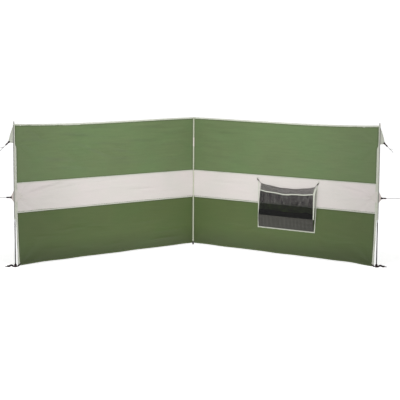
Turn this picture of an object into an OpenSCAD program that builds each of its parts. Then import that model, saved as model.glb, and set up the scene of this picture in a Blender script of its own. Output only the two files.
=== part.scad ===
// Two-wall folding windbreak on three poles, with a mesh pocket on the right wall.
// Millimetres. Origin on the ground at the foot of the centre pole, +Z up.
// The walls run forward (-Y) and outward from the centre pole; +X is to the right.
// Wall modules draw one wall lying along +X: x is the distance from the centre pole,
// -y is the inner face that looks forward, and z is the height above the ground.

/* [Walls] */
// Length of one wall, from the centre pole to its outer pole
wall_l = 2400; // [2000:50:3000]
// Angle of each wall forward from a straight line across
wall_angle = 39; // [20:1:50]
// Height of the fabric's top edge at the poles
fabric_top = 1474; // [1420:1:1600]
// Height of the fabric's bottom edge above the ground
hem_z = 20; // [15:1:40]
// Most sag of the top edge, two thirds of the way out along a wall
top_sag = 16; // [0:1:30]
// Thickness of the fabric panels
cloth_t = 2; // [1.5:0.1:2.5]
// Height of the stripe's lower seam
stripe_low = 570; // [550:5:600]
// Height of the stripe's upper seam
stripe_high = 870; // [850:5:950]
// Height of the binding tape along the top edge
binding_h = 20; // [15:1:30]
// How far the bottom corner pulls in from the outer pole
corner_pull = 50; // [40:1:80]
// Width of the tape along the free outer edge
side_tape_w = 20; // [15:1:24]

/* [Poles] */
// Diameter of the pole rods
pole_d = 12; // [10:0.5:13]
// Height of the outer poles, tip included
pole_top = 1500; // [1490:1:1650]
// Outer diameter of the ferrules that join the rods
ferrule_d = 14; // [13.6:0.1:14.4]
// Inner diameter of the fabric sleeves
sleeve_id = 15.2; // [15:0.1:16]
// Outer diameter of the fabric sleeves
sleeve_od = 18; // [17:0.5:19]
// Height at which the outer sleeves start
sleeve_low = 500; // [450:10:520]

/* [Guy cords] */
// Diameter of the guy cords
cord_d = 4; // [3:0.5:4]
// Outward reach of the triangular corner flap from the pole's axis
flap_reach = 56; // [50:1:60]
// Outward reach of the mid-height tab from the pole's axis
tab_reach = 45; // [40:1:50]
// Height of the mid-height tab's point
tab_z = 722; // [700:1:740]

/* [Pocket] */
// Distance from the centre pole to the pocket's left edge
pocket_left = 905; // [850:5:950]
// Width of the pocket's frame along its bottom seam
pocket_w = 740; // [700:5:780]
// Height of the pocket's bottom seam above the ground
pocket_low = 300; // [280:5:320]
// Height of the mesh bag's lower edge
bag_low = 436; // [430:1:445]
// Thickness of the mesh and the tape
mesh_t = 2; // [1.5:0.1:2.5]
// Diameter of the elastic cords at the pocket's corners
elastic_d = 3; // [2.5:0.1:3.2]

/* [Hidden] */

green = [0.43, 0.50, 0.35];
deep_green = [0.36, 0.41, 0.27];
stripe_white = [0.85, 0.83, 0.81];
cream = [0.79, 0.81, 0.74];
mesh_black = [0.15, 0.15, 0.15];
gusset_grey = [0.36, 0.36, 0.33];
rod_grey = [0.30, 0.30, 0.31];
webbing_maroon = [0.20, 0.07, 0.10];
cord_grey = [0.62, 0.62, 0.62];

sleeve_r = sleeve_od / 2;
panel_start = sleeve_r + 5;      // the walls clear the centre sleeve and each other when folded
sleeve_edge = wall_l - sleeve_r; // where a wall's fabric meets its outer sleeve
flap_low = 1270;                 // below this the outer edge leaves the pole
joint_heights = [500, 1000];     // where the pole rods meet inside their ferrules
eps = 0.01;

edge_step = 15;                  // how far the edge steps in below the corner flap
edge_step_h = 45;                // height over which it does so

// The outer edge of the green fabric at height z.
function edge_gap(z) =
  z >= flap_low
    ? 0
    : edge_step * min(1, (flap_low - z) / edge_step_h)
      + (corner_pull - edge_step) * pow((flap_low - z) / flap_low, 2.5);
function green_edge(z) = sleeve_edge - edge_gap(z);
// The top edge at distance x along the wall.
function top_edge(x) = fabric_top - 6.75 * top_sag * pow(x / wall_l, 2) * (1 - x / wall_l);
function spread(low, high, steps) = [for (i = [0:steps]) low + (high - low) * i / steps];
function unit(v) = v / norm(v);

// ---- placement -------------------------------------------------------------

// One wall's own frame turned to its place; the left wall mirrors the right one.
module on_wall(side)
  mirror([side == "left" ? 1 : 0, 0, 0])
    rotate([0, 0, -wall_angle])
      children();

// The foot of an outer pole, with +X still pointing straight out to that side.
module at_pole(side)
  on_wall(side)
    translate([wall_l, 0, 0])
      rotate([0, 0, wall_angle])
        children();

// An upright plate of a wall: its outline in (x, z), between two y faces.
module upright(y_front, thickness)
  translate([0, y_front + thickness, 0])
    rotate([90, 0, 0])
      linear_extrude(thickness)
        children();

// What an outer sleeve leaves of the children.
module clear_of_sleeve()
  difference() {
    children();
    translate([wall_l, 0, -1])
      cylinder(d = sleeve_od, h = fabric_top + 2, $fn = 48);
  }

// ---- poles -----------------------------------------------------------------

module rod(low, high)
  color(rod_grey)
    translate([0, 0, low])
      cylinder(d = pole_d, h = high - low, $fn = 48);

foot_bore_z = 10;
tip_bore = 15;
module pole_lower() rod(foot_bore_z, joint_heights[0]);
module pole_middle() rod(joint_heights[0], joint_heights[1]);
module pole_upper(top) rod(joint_heights[1], top - tip_bore);

ferrule_l = 60;
module pole_ferrules()
  color(rod_grey)
    for (z = joint_heights)
      translate([0, 0, z - ferrule_l / 2])
        difference() {
          cylinder(d = ferrule_d, h = ferrule_l, $fn = 48);
          translate([0, 0, -1])
            cylinder(d = pole_d, h = ferrule_l + 2, $fn = 48);
        }

// A domed cap over the end of the upper rod.
module pole_tip(top)
  color(rod_grey)
    difference() {
      union() {
        translate([0, 0, top - 32])
          cylinder(d = ferrule_d, h = 32 - ferrule_d / 2, $fn = 48);
        translate([0, 0, top - ferrule_d / 2])
          sphere(d = ferrule_d, $fn = 48);
      }
      translate([0, 0, top - 33])
        cylinder(d = pole_d, h = 33 - tip_bore, $fn = 48);
    }

foot_d = 18;
foot_h = 40;
pin_d = 6;
eyelet_top = 3.6;
// A moulded boot over the lower rod. An outer pole's boot stands on a pin.
module pole_foot(has_pin)
  color(webbing_maroon)
    difference() {
      rotate_extrude($fn = 64)
        polygon([
          [0, 0],
          [has_pin ? pin_d / 2 : foot_d / 2, 0],
          [has_pin ? pin_d / 2 : foot_d / 2, eyelet_top],
          [foot_d / 2, eyelet_top],
          [foot_d / 2, foot_h * 0.6],
          [ferrule_d / 2, foot_h],
          [0, foot_h]
        ]);
      translate([0, 0, foot_bore_z])
        cylinder(d = pole_d, h = foot_h, $fn = 48);
    }

// ---- centre sleeve ---------------------------------------------------------

// The fabric sleeve between the two walls, closed over the centre pole's tip.
centre_pole_top = fabric_top - 3;
foot_clearance = 0.5;
module centre_sleeve()
  color(cream)
    difference() {
      translate([0, 0, foot_h + foot_clearance])
        cylinder(d = sleeve_od, h = fabric_top - foot_h - foot_clearance, $fn = 48);
      translate([0, 0, foot_h])
        cylinder(d = sleeve_id, h = centre_pole_top + foot_clearance - foot_h, $fn = 48);
    }

// A stitched reinforcement on the front of the centre sleeve.
patch_low = 1140;
patch_h = 100;
module centre_guy_patch()
  color(cream)
    difference() {
      translate([0, 0, patch_low])
        cylinder(d = sleeve_od + 1.6, h = patch_h, $fn = 48);
      translate([0, 0, patch_low - 1])
        cylinder(d = sleeve_od, h = patch_h + 2, $fn = 48);
      translate([-sleeve_od, -2, patch_low - 1])
        cube([2 * sleeve_od, 2 * sleeve_od, patch_h + 2]);
    }

// ---- wall panels -----------------------------------------------------------

edge_steps = 6;
sag_steps = 12;

// A panel between two heights, from the centre sleeve out to the green edge.
module panel_below_top(low, high)
  upright(-cloth_t / 2, cloth_t)
    polygon(concat(
      [[panel_start, high], [panel_start, low]],
      [for (z = spread(low, high, edge_steps)) [green_edge(z), z]]
    ));

module lower_panel() color(deep_green) panel_below_top(hem_z, stripe_low);
module stripe_panel() color(stripe_white) panel_below_top(stripe_low, stripe_high);

module upper_panel()
  color(green)
    clear_of_sleeve()
      upright(-cloth_t / 2, cloth_t)
        polygon(concat(
          [[panel_start, stripe_high]],
          [for (z = spread(stripe_high, flap_low, edge_steps)) [green_edge(z), z]],
          [[wall_l, flap_low + eps]],
          [for (x = spread(wall_l, panel_start, sag_steps)) [x, top_edge(x) - binding_h]]
        ));

binding_t = 3;
module top_binding()
  color(cream)
    clear_of_sleeve()
      upright(-binding_t / 2, binding_t)
        polygon(concat(
          [for (x = spread(panel_start, wall_l, sag_steps)) [x, top_edge(x) - binding_h]],
          [for (x = spread(wall_l, panel_start, sag_steps)) [x, top_edge(x)]]
        ));

// Tape along the outer edge: it joins the sleeve above, and runs free below it.
free_tape_z = sleeve_low - 20;
module side_tape()
  color(cream)
    clear_of_sleeve()
      upright(-cloth_t / 2, cloth_t)
        polygon(concat(
          [for (z = spread(hem_z, flap_low, 3 * edge_steps)) [green_edge(z), z]],
          [[wall_l, flap_low], [wall_l, sleeve_low + 20]],
          [for (z = spread(free_tape_z, hem_z, edge_steps)) [green_edge(z) + side_tape_w, z]]
        ));

module pole_sleeve()
  color(cream)
    translate([wall_l, 0, sleeve_low])
      difference() {
        cylinder(d = sleeve_od, h = fabric_top - sleeve_low, $fn = 48);
        translate([0, 0, -1])
          cylinder(d = sleeve_id, h = fabric_top - sleeve_low + 2, $fn = 48);
      }

// ---- corner flap, tab and guy cords, drawn about an outer pole --------------

// A flat fabric point that stands out from the sleeve: outline in (x, z).
module outer_point(outline)
  color(cream)
    difference() {
      upright(-cloth_t / 2, cloth_t)
        polygon(outline);
      translate([0, 0, -1])
        cylinder(d = sleeve_od, h = fabric_top + 2, $fn = 48);
    }

flap_point = [flap_reach, 1286];
module corner_flap()
  outer_point([[sleeve_r - 1, 1450], [sleeve_r - 1, 1272], flap_point]);

module mid_tab()
  outer_point([[sleeve_r - 1, tab_z + 70], [sleeve_r - 1, tab_z - 50], [tab_reach, tab_z]]);

// A round cord swept along its route: one ring of points per route point.
cord_sides = 8;
function ring(centre, along, r) =
  let (side = unit(cross(along, [0, 1, 0])), up = cross(along, side))
  [for (k = [0:cord_sides - 1])
    centre + r * (cos(360 * k / cord_sides) * side + sin(360 * k / cord_sides) * up)];
function direction(route, i) =
  unit(route[min(i + 1, len(route) - 1)] - route[max(i - 1, 0)]);

module swept_cord(route, d) {
  last = len(route) - 1;
  points = [for (i = [0:last]) each ring(route[i], direction(route, i), d / 2)];
  sides = [for (i = [0:last - 1], k = [0:cord_sides - 1])
    let (next = (k + 1) % cord_sides)
    [i * cord_sides + k, i * cord_sides + next,
     (i + 1) * cord_sides + next, (i + 1) * cord_sides + k]];
  polyhedron(points, concat(
    [[for (k = [cord_sides - 1:-1:0]) k]],
    sides,
    [[for (k = [0:cord_sides - 1]) last * cord_sides + k]]
  ));
}

function straight_route(start, finish, steps) =
  [for (i = [0:steps]) start + (finish - start) * i / steps];

// The top guy cord runs out and down at 45 degrees from the flap's point.
top_guy_l = 120;
top_guy_start = [flap_reach, 0, 1286];
top_guy_way = [cos(45), 0, -sin(45)];
module top_guy_cord()
  color(cord_grey)
    swept_cord(straight_route(top_guy_start, top_guy_start + top_guy_way * top_guy_l, 12), cord_d);

// Draws a child that lies along +X at a distance down the top guy cord.
module along_top_guy(distance)
  translate(top_guy_start + top_guy_way * distance)
    rotate([0, 45, 0])
      children();

knot_d = 9;
end_knot_d = 7;
slip_knot_at = 72;
tail_l = 28;
// A slip knot with the cord's short tail, and the knot at the cord's end.
module top_guy_knots()
  color(cord_grey) {
    along_top_guy(slip_knot_at)
      rotate([0, 90, 0])
        difference() {
          cylinder(d = knot_d, h = 10, $fn = 32);
          translate([0, 0, -1])
            cylinder(d = cord_d + 0.2, h = 12, $fn = 32);
        }
    translate(top_guy_start + top_guy_way * (slip_knot_at + 5) + [5, 0, 1])
      rotate([0, 90, 0])
        cylinder(d = cord_d, h = tail_l, $fn = 32);
    along_top_guy(top_guy_l)
      rotate([0, 90, 0])
        cylinder(d = end_knot_d, h = 7, $fn = 32);
  }

// The mid guy cord runs level and straight out, pulled taut, to an end loop.
mid_guy_l = 230;
mid_guy_start = [tab_reach, 0, tab_z];
module mid_guy_cord()
  color(cord_grey)
    swept_cord(straight_route(mid_guy_start, mid_guy_start + [mid_guy_l, 0, 0], 20), cord_d);

loop_r = 12;
loop_knot_l = 10;
module mid_guy_loop()
  color(cord_grey)
    translate(mid_guy_start + [mid_guy_l, 0, 0]) {
      rotate([0, 90, 0])
        cylinder(d = knot_d, h = loop_knot_l, $fn = 32);
      translate([loop_knot_l + loop_r, 0, 0])
        rotate([90, 0, 0])
          rotate_extrude($fn = 48)
            translate([loop_r, 0])
              circle(d = cord_d, $fn = 24);
    }

// A flat runner with the cord passing along a hole through its length.
tensioner_l = 34;
tensioner_w = 14;
tensioner_t = 9;
module tensioner()
  color(webbing_maroon)
    difference() {
      translate([tensioner_w / 2, 0, 0])
        rotate([90, 0, 0])
          linear_extrude(tensioner_t, center = true)
            union() {
              translate([0, -tensioner_w / 2])
                square([tensioner_l - tensioner_w, tensioner_w]);
              circle(d = tensioner_w, $fn = 32);
              translate([tensioner_l - tensioner_w, 0])
                circle(d = tensioner_w, $fn = 32);
            }
      translate([-1, 0, 0])
        rotate([0, 90, 0])
          cylinder(d = cord_d + 1, h = tensioner_l + 2, $fn = 32);
    }

tensioner_gap = 8; // from the cord's start to the tensioner
module top_tensioner() along_top_guy(tensioner_gap) tensioner();
module mid_tensioner() translate(mid_guy_start + [tensioner_gap, 0, 0]) tensioner();

// ---- foot strap, drawn about an outer pole ----------------------------------

strap_w = 20;
strap_t = 2;
strap_pad = 12;        // half length of the flat part under the pole's boot
strap_wave = 10;       // height of the wave that the loose webbing keeps
wave_end = 70;
strap_end = 98;
end_lift = 8;
peg_loop_r = 5;
function strap_z(x) =
  x <= wave_end
    ? strap_wave * pow(sin(180 * (x - strap_pad) / (wave_end - strap_pad)), 2)
    : end_lift * pow((x - wave_end) / (strap_end - wave_end), 2);

// Webbing from the fabric's bottom corner, under the boot, and out to a peg loop.
module foot_strap()
  color(webbing_maroon)
    difference() {
      union() {
        // flat part under the boot
        translate([-strap_pad, -strap_w / 2, 0])
          cube([2 * strap_pad, strap_w, strap_t]);
        // loose outer end
        translate([0, strap_w / 2, 0])
          rotate([90, 0, 0])
            linear_extrude(strap_w)
              polygon(concat(
                [for (x = spread(strap_pad, strap_end, 28)) [x, strap_z(x)]],
                [for (x = spread(strap_end, strap_pad, 28)) [x, strap_z(x) + strap_t]]
              ));
        // peg loop sewn into the end
        translate([strap_end + peg_loop_r, strap_w / 2, end_lift])
          rotate([90, 0, 0])
            cylinder(r = peg_loop_r + strap_t, h = strap_w, $fn = 48);
        // sewn end that rises to the fabric's bottom corner
        rotate([0, 0, -wall_angle])
          translate([0, strap_w / 2, 0])
            rotate([90, 0, 0])
              linear_extrude(strap_w)
                polygon([
                  [-strap_pad + 2, 0], [-strap_pad + 2, strap_t],
                  [green_edge(hem_z) - wall_l + side_tape_w, hem_z],
                  [green_edge(hem_z) - wall_l, hem_z],
                  [green_edge(hem_z) - wall_l, hem_z - strap_t]
                ]);
      }
      translate([strap_end + peg_loop_r, strap_w, end_lift])
        rotate([90, 0, 0])
          cylinder(r = peg_loop_r, h = 2 * strap_w, $fn = 48);
      translate([0, 0, -1])
        cylinder(d = eyelet_od, h = strap_t + 2, $fn = 48);
    }

eyelet_od = 11;
eyelet_id = 7;
flange_d = 16;
// The pressed eyelet that an outer pole's pin stands in.
module foot_eyelet()
  color("silver")
    rotate_extrude($fn = 64)
      polygon([
        [eyelet_id / 2, 0.2], [eyelet_od / 2, 0.2], [eyelet_od / 2, strap_t],
        [flange_d / 2, strap_t], [flange_d / 2, strap_t + 1], [eyelet_id / 2, strap_t + 1]
      ]);

// ---- pocket on the right wall ----------------------------------------------

wall_face = -cloth_t / 2;
pocket_top = 826;
pocket_flare = 30;      // how much the frame widens to the right by its top
tape_w = 12;
frame_right_low = pocket_left + pocket_w;
frame_right_high = frame_right_low + pocket_flare;
axis_y = wall_face - mesh_t - 1.6;

// Tape sewn to the wall down the left side, along the bottom and up the right side.
module pocket_frame_tape()
  color(cream)
    upright(wall_face - mesh_t, mesh_t)
      difference() {
        polygon([
          [pocket_left, pocket_top], [pocket_left, pocket_low - tape_w],
          [frame_right_low, pocket_low - tape_w], [frame_right_high, pocket_top]
        ]);
        polygon([
          [pocket_left + tape_w, pocket_top + 1], [pocket_left + tape_w, pocket_low],
          [frame_right_low - tape_w, pocket_low], [frame_right_high - tape_w, pocket_top + 1]
        ]);
      }

bag_left = 930;
bag_right = 1640;
bag_w = bag_right - bag_left;
back_low_y = axis_y - 14;
back_high_y = axis_y - 4;
front_low_y = axis_y - 26;
front_high_y = axis_y - 44;
back_corner_z = 782;
back_sag = 38;
rim_corner_z = 714;
rim_sag = 22;
rim_h = 12;

// A slab across the pocket whose side profile is a strip from low to high.
module leaning_slab(low, high, left, right)
  translate([left, 0, 0])
    rotate([90, 0, 90])
      linear_extrude(right - left)
        polygon([
          [low[0] - mesh_t / 2, low[1]], [low[0] + mesh_t / 2, low[1]],
          [high[0] + mesh_t / 2, high[1]], [high[0] - mesh_t / 2, high[1]]
        ]);

// What lies under a top edge that sags between the bag's two sides.
module below_sagging_edge(corner_z, sag)
  intersection() {
    children();
    upright(front_high_y - 20, 100)
      polygon(concat(
        [[bag_left - 20, 0]], [[bag_right + 20, 0]],
        [for (x = spread(bag_right, bag_left, 10))
          [x, corner_z - 4 * sag * (x - bag_left) / bag_w * (1 - (x - bag_left) / bag_w)]]
      ));
  }

// The grey base that rises from the bottom seam to the bag.
module pocket_gusset()
  color(gusset_grey) {
    leaning_slab([axis_y, pocket_low + 1], [(back_low_y + front_low_y) / 2, bag_low - mesh_t],
                 pocket_left + 15, frame_right_low - 15);
    // the bag's bottom seam
    translate([bag_left, front_low_y - mesh_t / 2, bag_low - mesh_t])
      cube([bag_w, back_low_y - front_low_y + mesh_t, mesh_t]);
  }

module pocket_back_mesh()
  color(mesh_black)
    below_sagging_edge(back_corner_z, back_sag)
      leaning_slab([back_low_y, bag_low], [back_high_y, back_corner_z], bag_left, bag_right);

module pocket_front_mesh()
  color(mesh_black)
    below_sagging_edge(rim_corner_z - rim_h, rim_sag)
      leaning_slab([front_low_y, bag_low], [front_high_y, rim_corner_z], bag_left, bag_right);

// Tape over the front rim and down both sides, where it closes the bag.
module pocket_rim_tape()
  color(cream) {
    difference() {
      below_sagging_edge(rim_corner_z, rim_sag)
        leaning_slab([front_low_y, bag_low], [front_high_y, rim_corner_z], bag_left, bag_right);
      below_sagging_edge(rim_corner_z - rim_h, rim_sag)
        translate([bag_left - 1, front_high_y - 10, bag_low - 1])
          cube([bag_w + 2, 60, pocket_top]);
    }
    for (x = [bag_left - mesh_t, bag_right])
      translate([x, 0, 0])
        rotate([90, 0, 90])
          linear_extrude(mesh_t)
            polygon([
              [front_low_y - mesh_t / 2, bag_low], [back_low_y + mesh_t / 2, bag_low],
              [back_high_y + mesh_t / 2, back_corner_z], [back_high_y - mesh_t / 2, back_corner_z],
              [front_high_y - mesh_t / 2, rim_corner_z]
            ]);
  }

// Elastic cords from the bag's upper corners towards the tabs on the wall.
tab_drop = 4;
module pocket_corner_cords()
  color(cord_grey) {
    swept_cord(straight_route([bag_left, back_high_y, back_corner_z],
                              [pocket_left - 10, back_high_y, pocket_top], 4), elastic_d);
    swept_cord(straight_route([bag_right, back_high_y, back_corner_z],
                              [frame_right_high + 10, back_high_y, pocket_top], 4), elastic_d);
  }

// Small sewn tabs on the wall that the corner cords hook on to.
tab_size = 16;
module pocket_anchor_tabs()
  color(cream)
    for (x = [pocket_left - 10 - tab_size / 2, frame_right_high + 10 - tab_size / 2])
      translate([x, wall_face - 3, pocket_top + tab_drop])
        cube([tab_size, 3, tab_size]);

// ---- the assembly: one line for each named node -----------------------------

pole_lower();  // centre_pole_lower
pole_middle();  // centre_pole_middle
pole_upper(centre_pole_top);  // centre_pole_upper
pole_ferrules();  // centre_pole_ferrules
pole_tip(centre_pole_top);  // centre_pole_tip
pole_foot(false);  // centre_pole_foot
centre_sleeve();
centre_guy_patch();

on_wall("left") upper_panel();  // left_upper_panel
on_wall("left") stripe_panel();  // left_stripe_panel
on_wall("left") lower_panel();  // left_lower_panel
on_wall("left") top_binding();  // left_top_binding
on_wall("left") side_tape();  // left_side_tape
on_wall("left") pole_sleeve();  // left_pole_sleeve
at_pole("left") corner_flap();  // left_corner_flap
at_pole("left") mid_tab();  // left_mid_tab
at_pole("left") top_guy_cord();  // left_top_guy_cord
at_pole("left") top_guy_knots();  // left_top_guy_knots
at_pole("left") mid_guy_cord();  // left_mid_guy_cord
at_pole("left") mid_guy_loop();  // left_mid_guy_loop
at_pole("left") foot_strap();  // left_foot_strap
at_pole("left") foot_eyelet();  // left_foot_eyelet
at_pole("left") pole_lower();  // left_pole_lower
at_pole("left") pole_middle();  // left_pole_middle
at_pole("left") pole_upper(pole_top);  // left_pole_upper
at_pole("left") pole_ferrules();  // left_pole_ferrules
at_pole("left") pole_tip(pole_top);  // left_pole_tip
at_pole("left") pole_foot(true);  // left_pole_foot
at_pole("left") top_tensioner();  // left_top_tensioner
at_pole("left") mid_tensioner();  // left_mid_tensioner

on_wall("right") upper_panel();  // right_upper_panel
on_wall("right") stripe_panel();  // right_stripe_panel
on_wall("right") lower_panel();  // right_lower_panel
on_wall("right") top_binding();  // right_top_binding
on_wall("right") side_tape();  // right_side_tape
on_wall("right") pole_sleeve();  // right_pole_sleeve
at_pole("right") corner_flap();  // right_corner_flap
at_pole("right") mid_tab();  // right_mid_tab
at_pole("right") top_guy_cord();  // right_top_guy_cord
at_pole("right") top_guy_knots();  // right_top_guy_knots
at_pole("right") mid_guy_cord();  // right_mid_guy_cord
at_pole("right") mid_guy_loop();  // right_mid_guy_loop
at_pole("right") foot_strap();  // right_foot_strap
at_pole("right") foot_eyelet();  // right_foot_eyelet
at_pole("right") pole_lower();  // right_pole_lower
at_pole("right") pole_middle();  // right_pole_middle
at_pole("right") pole_upper(pole_top);  // right_pole_upper
at_pole("right") pole_ferrules();  // right_pole_ferrules
at_pole("right") pole_tip(pole_top);  // right_pole_tip
at_pole("right") pole_foot(true);  // right_pole_foot
at_pole("right") top_tensioner();  // right_top_tensioner
at_pole("right") mid_tensioner();  // right_mid_tensioner

on_wall("right") pocket_frame_tape();
on_wall("right") pocket_gusset();
on_wall("right") pocket_back_mesh();
on_wall("right") pocket_front_mesh();
on_wall("right") pocket_rim_tape();
on_wall("right") pocket_corner_cords();
on_wall("right") pocket_anchor_tabs();
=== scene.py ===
import math

import bpy
import numpy as np
from mathutils import Matrix, Vector


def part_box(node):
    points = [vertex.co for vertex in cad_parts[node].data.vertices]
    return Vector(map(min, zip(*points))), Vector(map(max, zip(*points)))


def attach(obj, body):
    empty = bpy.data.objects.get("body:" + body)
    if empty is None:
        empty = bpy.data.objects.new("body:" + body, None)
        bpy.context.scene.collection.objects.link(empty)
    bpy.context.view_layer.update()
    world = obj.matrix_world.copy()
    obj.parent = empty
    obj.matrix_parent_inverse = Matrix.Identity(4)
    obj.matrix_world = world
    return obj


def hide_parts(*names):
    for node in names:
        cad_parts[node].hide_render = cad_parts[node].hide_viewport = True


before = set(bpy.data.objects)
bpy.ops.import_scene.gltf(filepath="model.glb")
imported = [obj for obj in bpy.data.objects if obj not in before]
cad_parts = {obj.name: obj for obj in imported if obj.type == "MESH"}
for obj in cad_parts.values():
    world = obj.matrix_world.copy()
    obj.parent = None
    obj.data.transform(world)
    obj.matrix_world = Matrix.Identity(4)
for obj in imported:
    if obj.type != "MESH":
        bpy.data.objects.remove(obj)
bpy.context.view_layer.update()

rng = np.random.default_rng(7)


# ---- sizes, from the frame ---------------------------------------------------

def mid(node):
    low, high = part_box(node)
    return (low + high) / 2


POLE = mid("right_pole_lower")                 # the right outer pole's axis
WALL_L = math.hypot(POLE.x, POLE.y)
COS, SIN = POLE.x / WALL_L, -POLE.y / WALL_L   # the wall's turn from the X axis
FABRIC_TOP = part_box("right_pole_sleeve")[1].z
HEM_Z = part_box("right_lower_panel")[0].z
STRIPE_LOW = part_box("right_stripe_panel")[0].z
STRIPE_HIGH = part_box("right_stripe_panel")[1].z
SLEEVE_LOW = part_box("right_pole_sleeve")[0].z
CENTRE_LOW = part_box("centre_sleeve")[0].z
PATCH_LOW, PATCH_HIGH = (p.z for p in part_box("centre_guy_patch"))
CORD_D = 0.004
ELASTIC_D = 0.003
TOP_SAG = 0.016        # most dip of the top edge between two poles
BINDING_H = 0.020
CORNER_PULL = 0.043    # how far the bottom corner pulls in from the outer pole
EDGE_STEP = 0.015      # how far the edge steps in just below the corner flap
EDGE_STEP_H = 0.045
FLAP_LOW = 1.270       # the fabric's edge leaves the pole below this height
SIDE_TAPE_W = 0.020
SLEEVE_R = 0.009
BOOT_R = 0.009
SHEET_T = 0.0008       # a layer of the wall fabric
WALL_COLS = 400        # points along a wall
ROW_STEP = 0.008       # and how far apart they are up it
SIDES = {"left": -1, "right": 1}


def smooth(x):
    x = np.clip(x, 0, 1)
    return x * x * (3 - 2 * x)


def edge_u(z):
    """Distance along the wall at which the green fabric ends, at height z."""
    drop = np.clip((FLAP_LOW - z) / FLAP_LOW, 0, 1)
    step = smooth((FLAP_LOW - z) / EDGE_STEP_H)
    return WALL_L - SLEEVE_R - EDGE_STEP * step - (CORNER_PULL - EDGE_STEP) * drop ** 2.5


def top_z(u):
    t = np.asarray(u) / WALL_L
    return FABRIC_TOP - 6.75 * TOP_SAG * t * t * (1 - t)


def wall_to_row(side, p):
    p = np.asarray(p, float)
    x = p[..., 0] * COS + p[..., 1] * SIN
    y = -p[..., 0] * SIN + p[..., 1] * COS
    return np.stack([x * SIDES[side], y, p[..., 2]], -1)


def pole_to_row(side, p):
    p = np.asarray(p, float)
    return np.stack([(p[..., 0] + POLE.x) * SIDES[side], p[..., 1] + POLE.y, p[..., 2]], -1)


def same_place(side, p):
    return np.asarray(p, float)


PLACES = {"wall": wall_to_row, "pole": pole_to_row, "row": same_place}


# ---- mesh building -----------------------------------------------------------

def quads(rows, cols, offset=0, wrap=False, flip=False):
    """Faces of a grid of points, row by row. wrap joins the last column to the first."""
    r, c = np.meshgrid(np.arange(rows - 1), np.arange(cols if wrap else cols - 1), indexing="ij")
    n = (c + 1) % cols
    f = np.stack([r * cols + c, r * cols + n, (r + 1) * cols + n, (r + 1) * cols + c], -1)
    f = f.reshape(-1, 4) + offset
    return f[:, ::-1] if flip else f


def slab(grid, thickness, uv=None):
    """A closed thin sheet on a grid of points (rows, cols, 3)."""
    rows, cols = grid.shape[:2]
    n = np.cross(np.gradient(grid, axis=1), np.gradient(grid, axis=0))
    n /= np.linalg.norm(n, axis=-1, keepdims=True)
    front, back = grid + n * thickness / 2, grid - n * thickness / 2
    verts = np.concatenate([front.reshape(-1, 3), back.reshape(-1, 3)])
    k = rows * cols
    index = np.arange(k).reshape(rows, cols)
    rim = np.concatenate([index[0, :-1], index[:-1, -1], index[-1, :0:-1], index[:0:-1, 0]])
    after = np.roll(rim, -1)
    faces = np.concatenate([
        quads(rows, cols), quads(rows, cols, k, flip=True),
        np.stack([after, rim, rim + k, after + k], -1),
    ])
    if uv is None:
        uv = grid[..., [0, 2]]
    uv = np.concatenate([uv.reshape(-1, 2)] * 2)
    return verts, faces, uv


def around(n):
    return np.arange(n) * 2 * math.pi / n


def arc_length(points):
    """Distance along a line of points, at each of them."""
    return np.concatenate([[0], np.cumsum(np.linalg.norm(np.diff(points, axis=0), axis=1))])


def grid_uv(rows, cols):
    """Flat coordinates of a grid, from those of its rows and of its columns."""
    return np.stack(np.broadcast_arrays(rows[:, None], cols[None, :]), -1)


def capped(grid, uv, flip=True):
    """A closed tube of any outline, from its rings of points (rows, cols, 3)."""
    n, m = grid.shape[:2]
    first, last = list(range(m)), list(range((n - 1) * m, n * m))
    ends = [first, last[::-1]] if flip else [first[::-1], last]
    return grid.reshape(-1, 3), quads(n, m, wrap=True, flip=flip).tolist() + ends, uv.reshape(-1, 2)


def turned(part):
    """The same part with its faces turned over."""
    v, f, uv = part
    return v, [face[::-1] for face in f], uv


def frames(path, closed=False):
    """Directions along and across a path, without twist."""
    path = np.asarray(path, float)
    along = np.roll(path, -1, 0) - np.roll(path, 1, 0) if closed else np.gradient(path, axis=0)
    along /= np.linalg.norm(along, axis=1, keepdims=True)
    start = np.array([0, 0, 1.0]) if abs(along[0][2]) < 0.8 else np.array([0, 1.0, 0])
    a = np.cross(along[0], start)
    across = []
    for t in along:
        a = a - t * (a @ t)
        a = a / np.linalg.norm(a)
        across.append(a)
    across = np.array(across)
    return along, across, np.cross(along, across)


def tube(path, radius, sides=12, closed=False):
    """A round tube along a path. radius is one number, or one for each point or each vertex."""
    path = np.asarray(path, float)
    n = len(path)
    along, a, b = frames(path, closed)
    if closed:
        # spread the leftover twist evenly, so that the ends meet
        first, last = a[0], a[-1]
        twist = math.atan2(np.cross(last, first) @ along[0], last @ first)
        turn = np.linspace(0, twist, n)[:, None]
        a, b = a * np.cos(turn) + b * np.sin(turn), b * np.cos(turn) - a * np.sin(turn)
    r = np.broadcast_to(np.asarray(radius, float).reshape(n, -1)
                        if np.ndim(radius) else np.full((n, 1), radius), (n, sides))
    ang = around(sides)
    ring = a[:, None] * np.cos(ang)[None, :, None] + b[:, None] * np.sin(ang)[None, :, None]
    grid = path[:, None] + ring * r[..., None]
    uv = grid_uv(arc_length(path), ang * np.mean(r))
    if not closed:
        return capped(grid, uv)
    k = np.arange(sides)
    j = (k + 1) % sides
    last = (n - 1) * sides
    faces = np.concatenate([quads(n, sides, wrap=True, flip=True),
                            np.stack([last + k, k, j, last + j], -1)])
    return grid.reshape(-1, 3), faces, uv.reshape(-1, 2)


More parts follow.
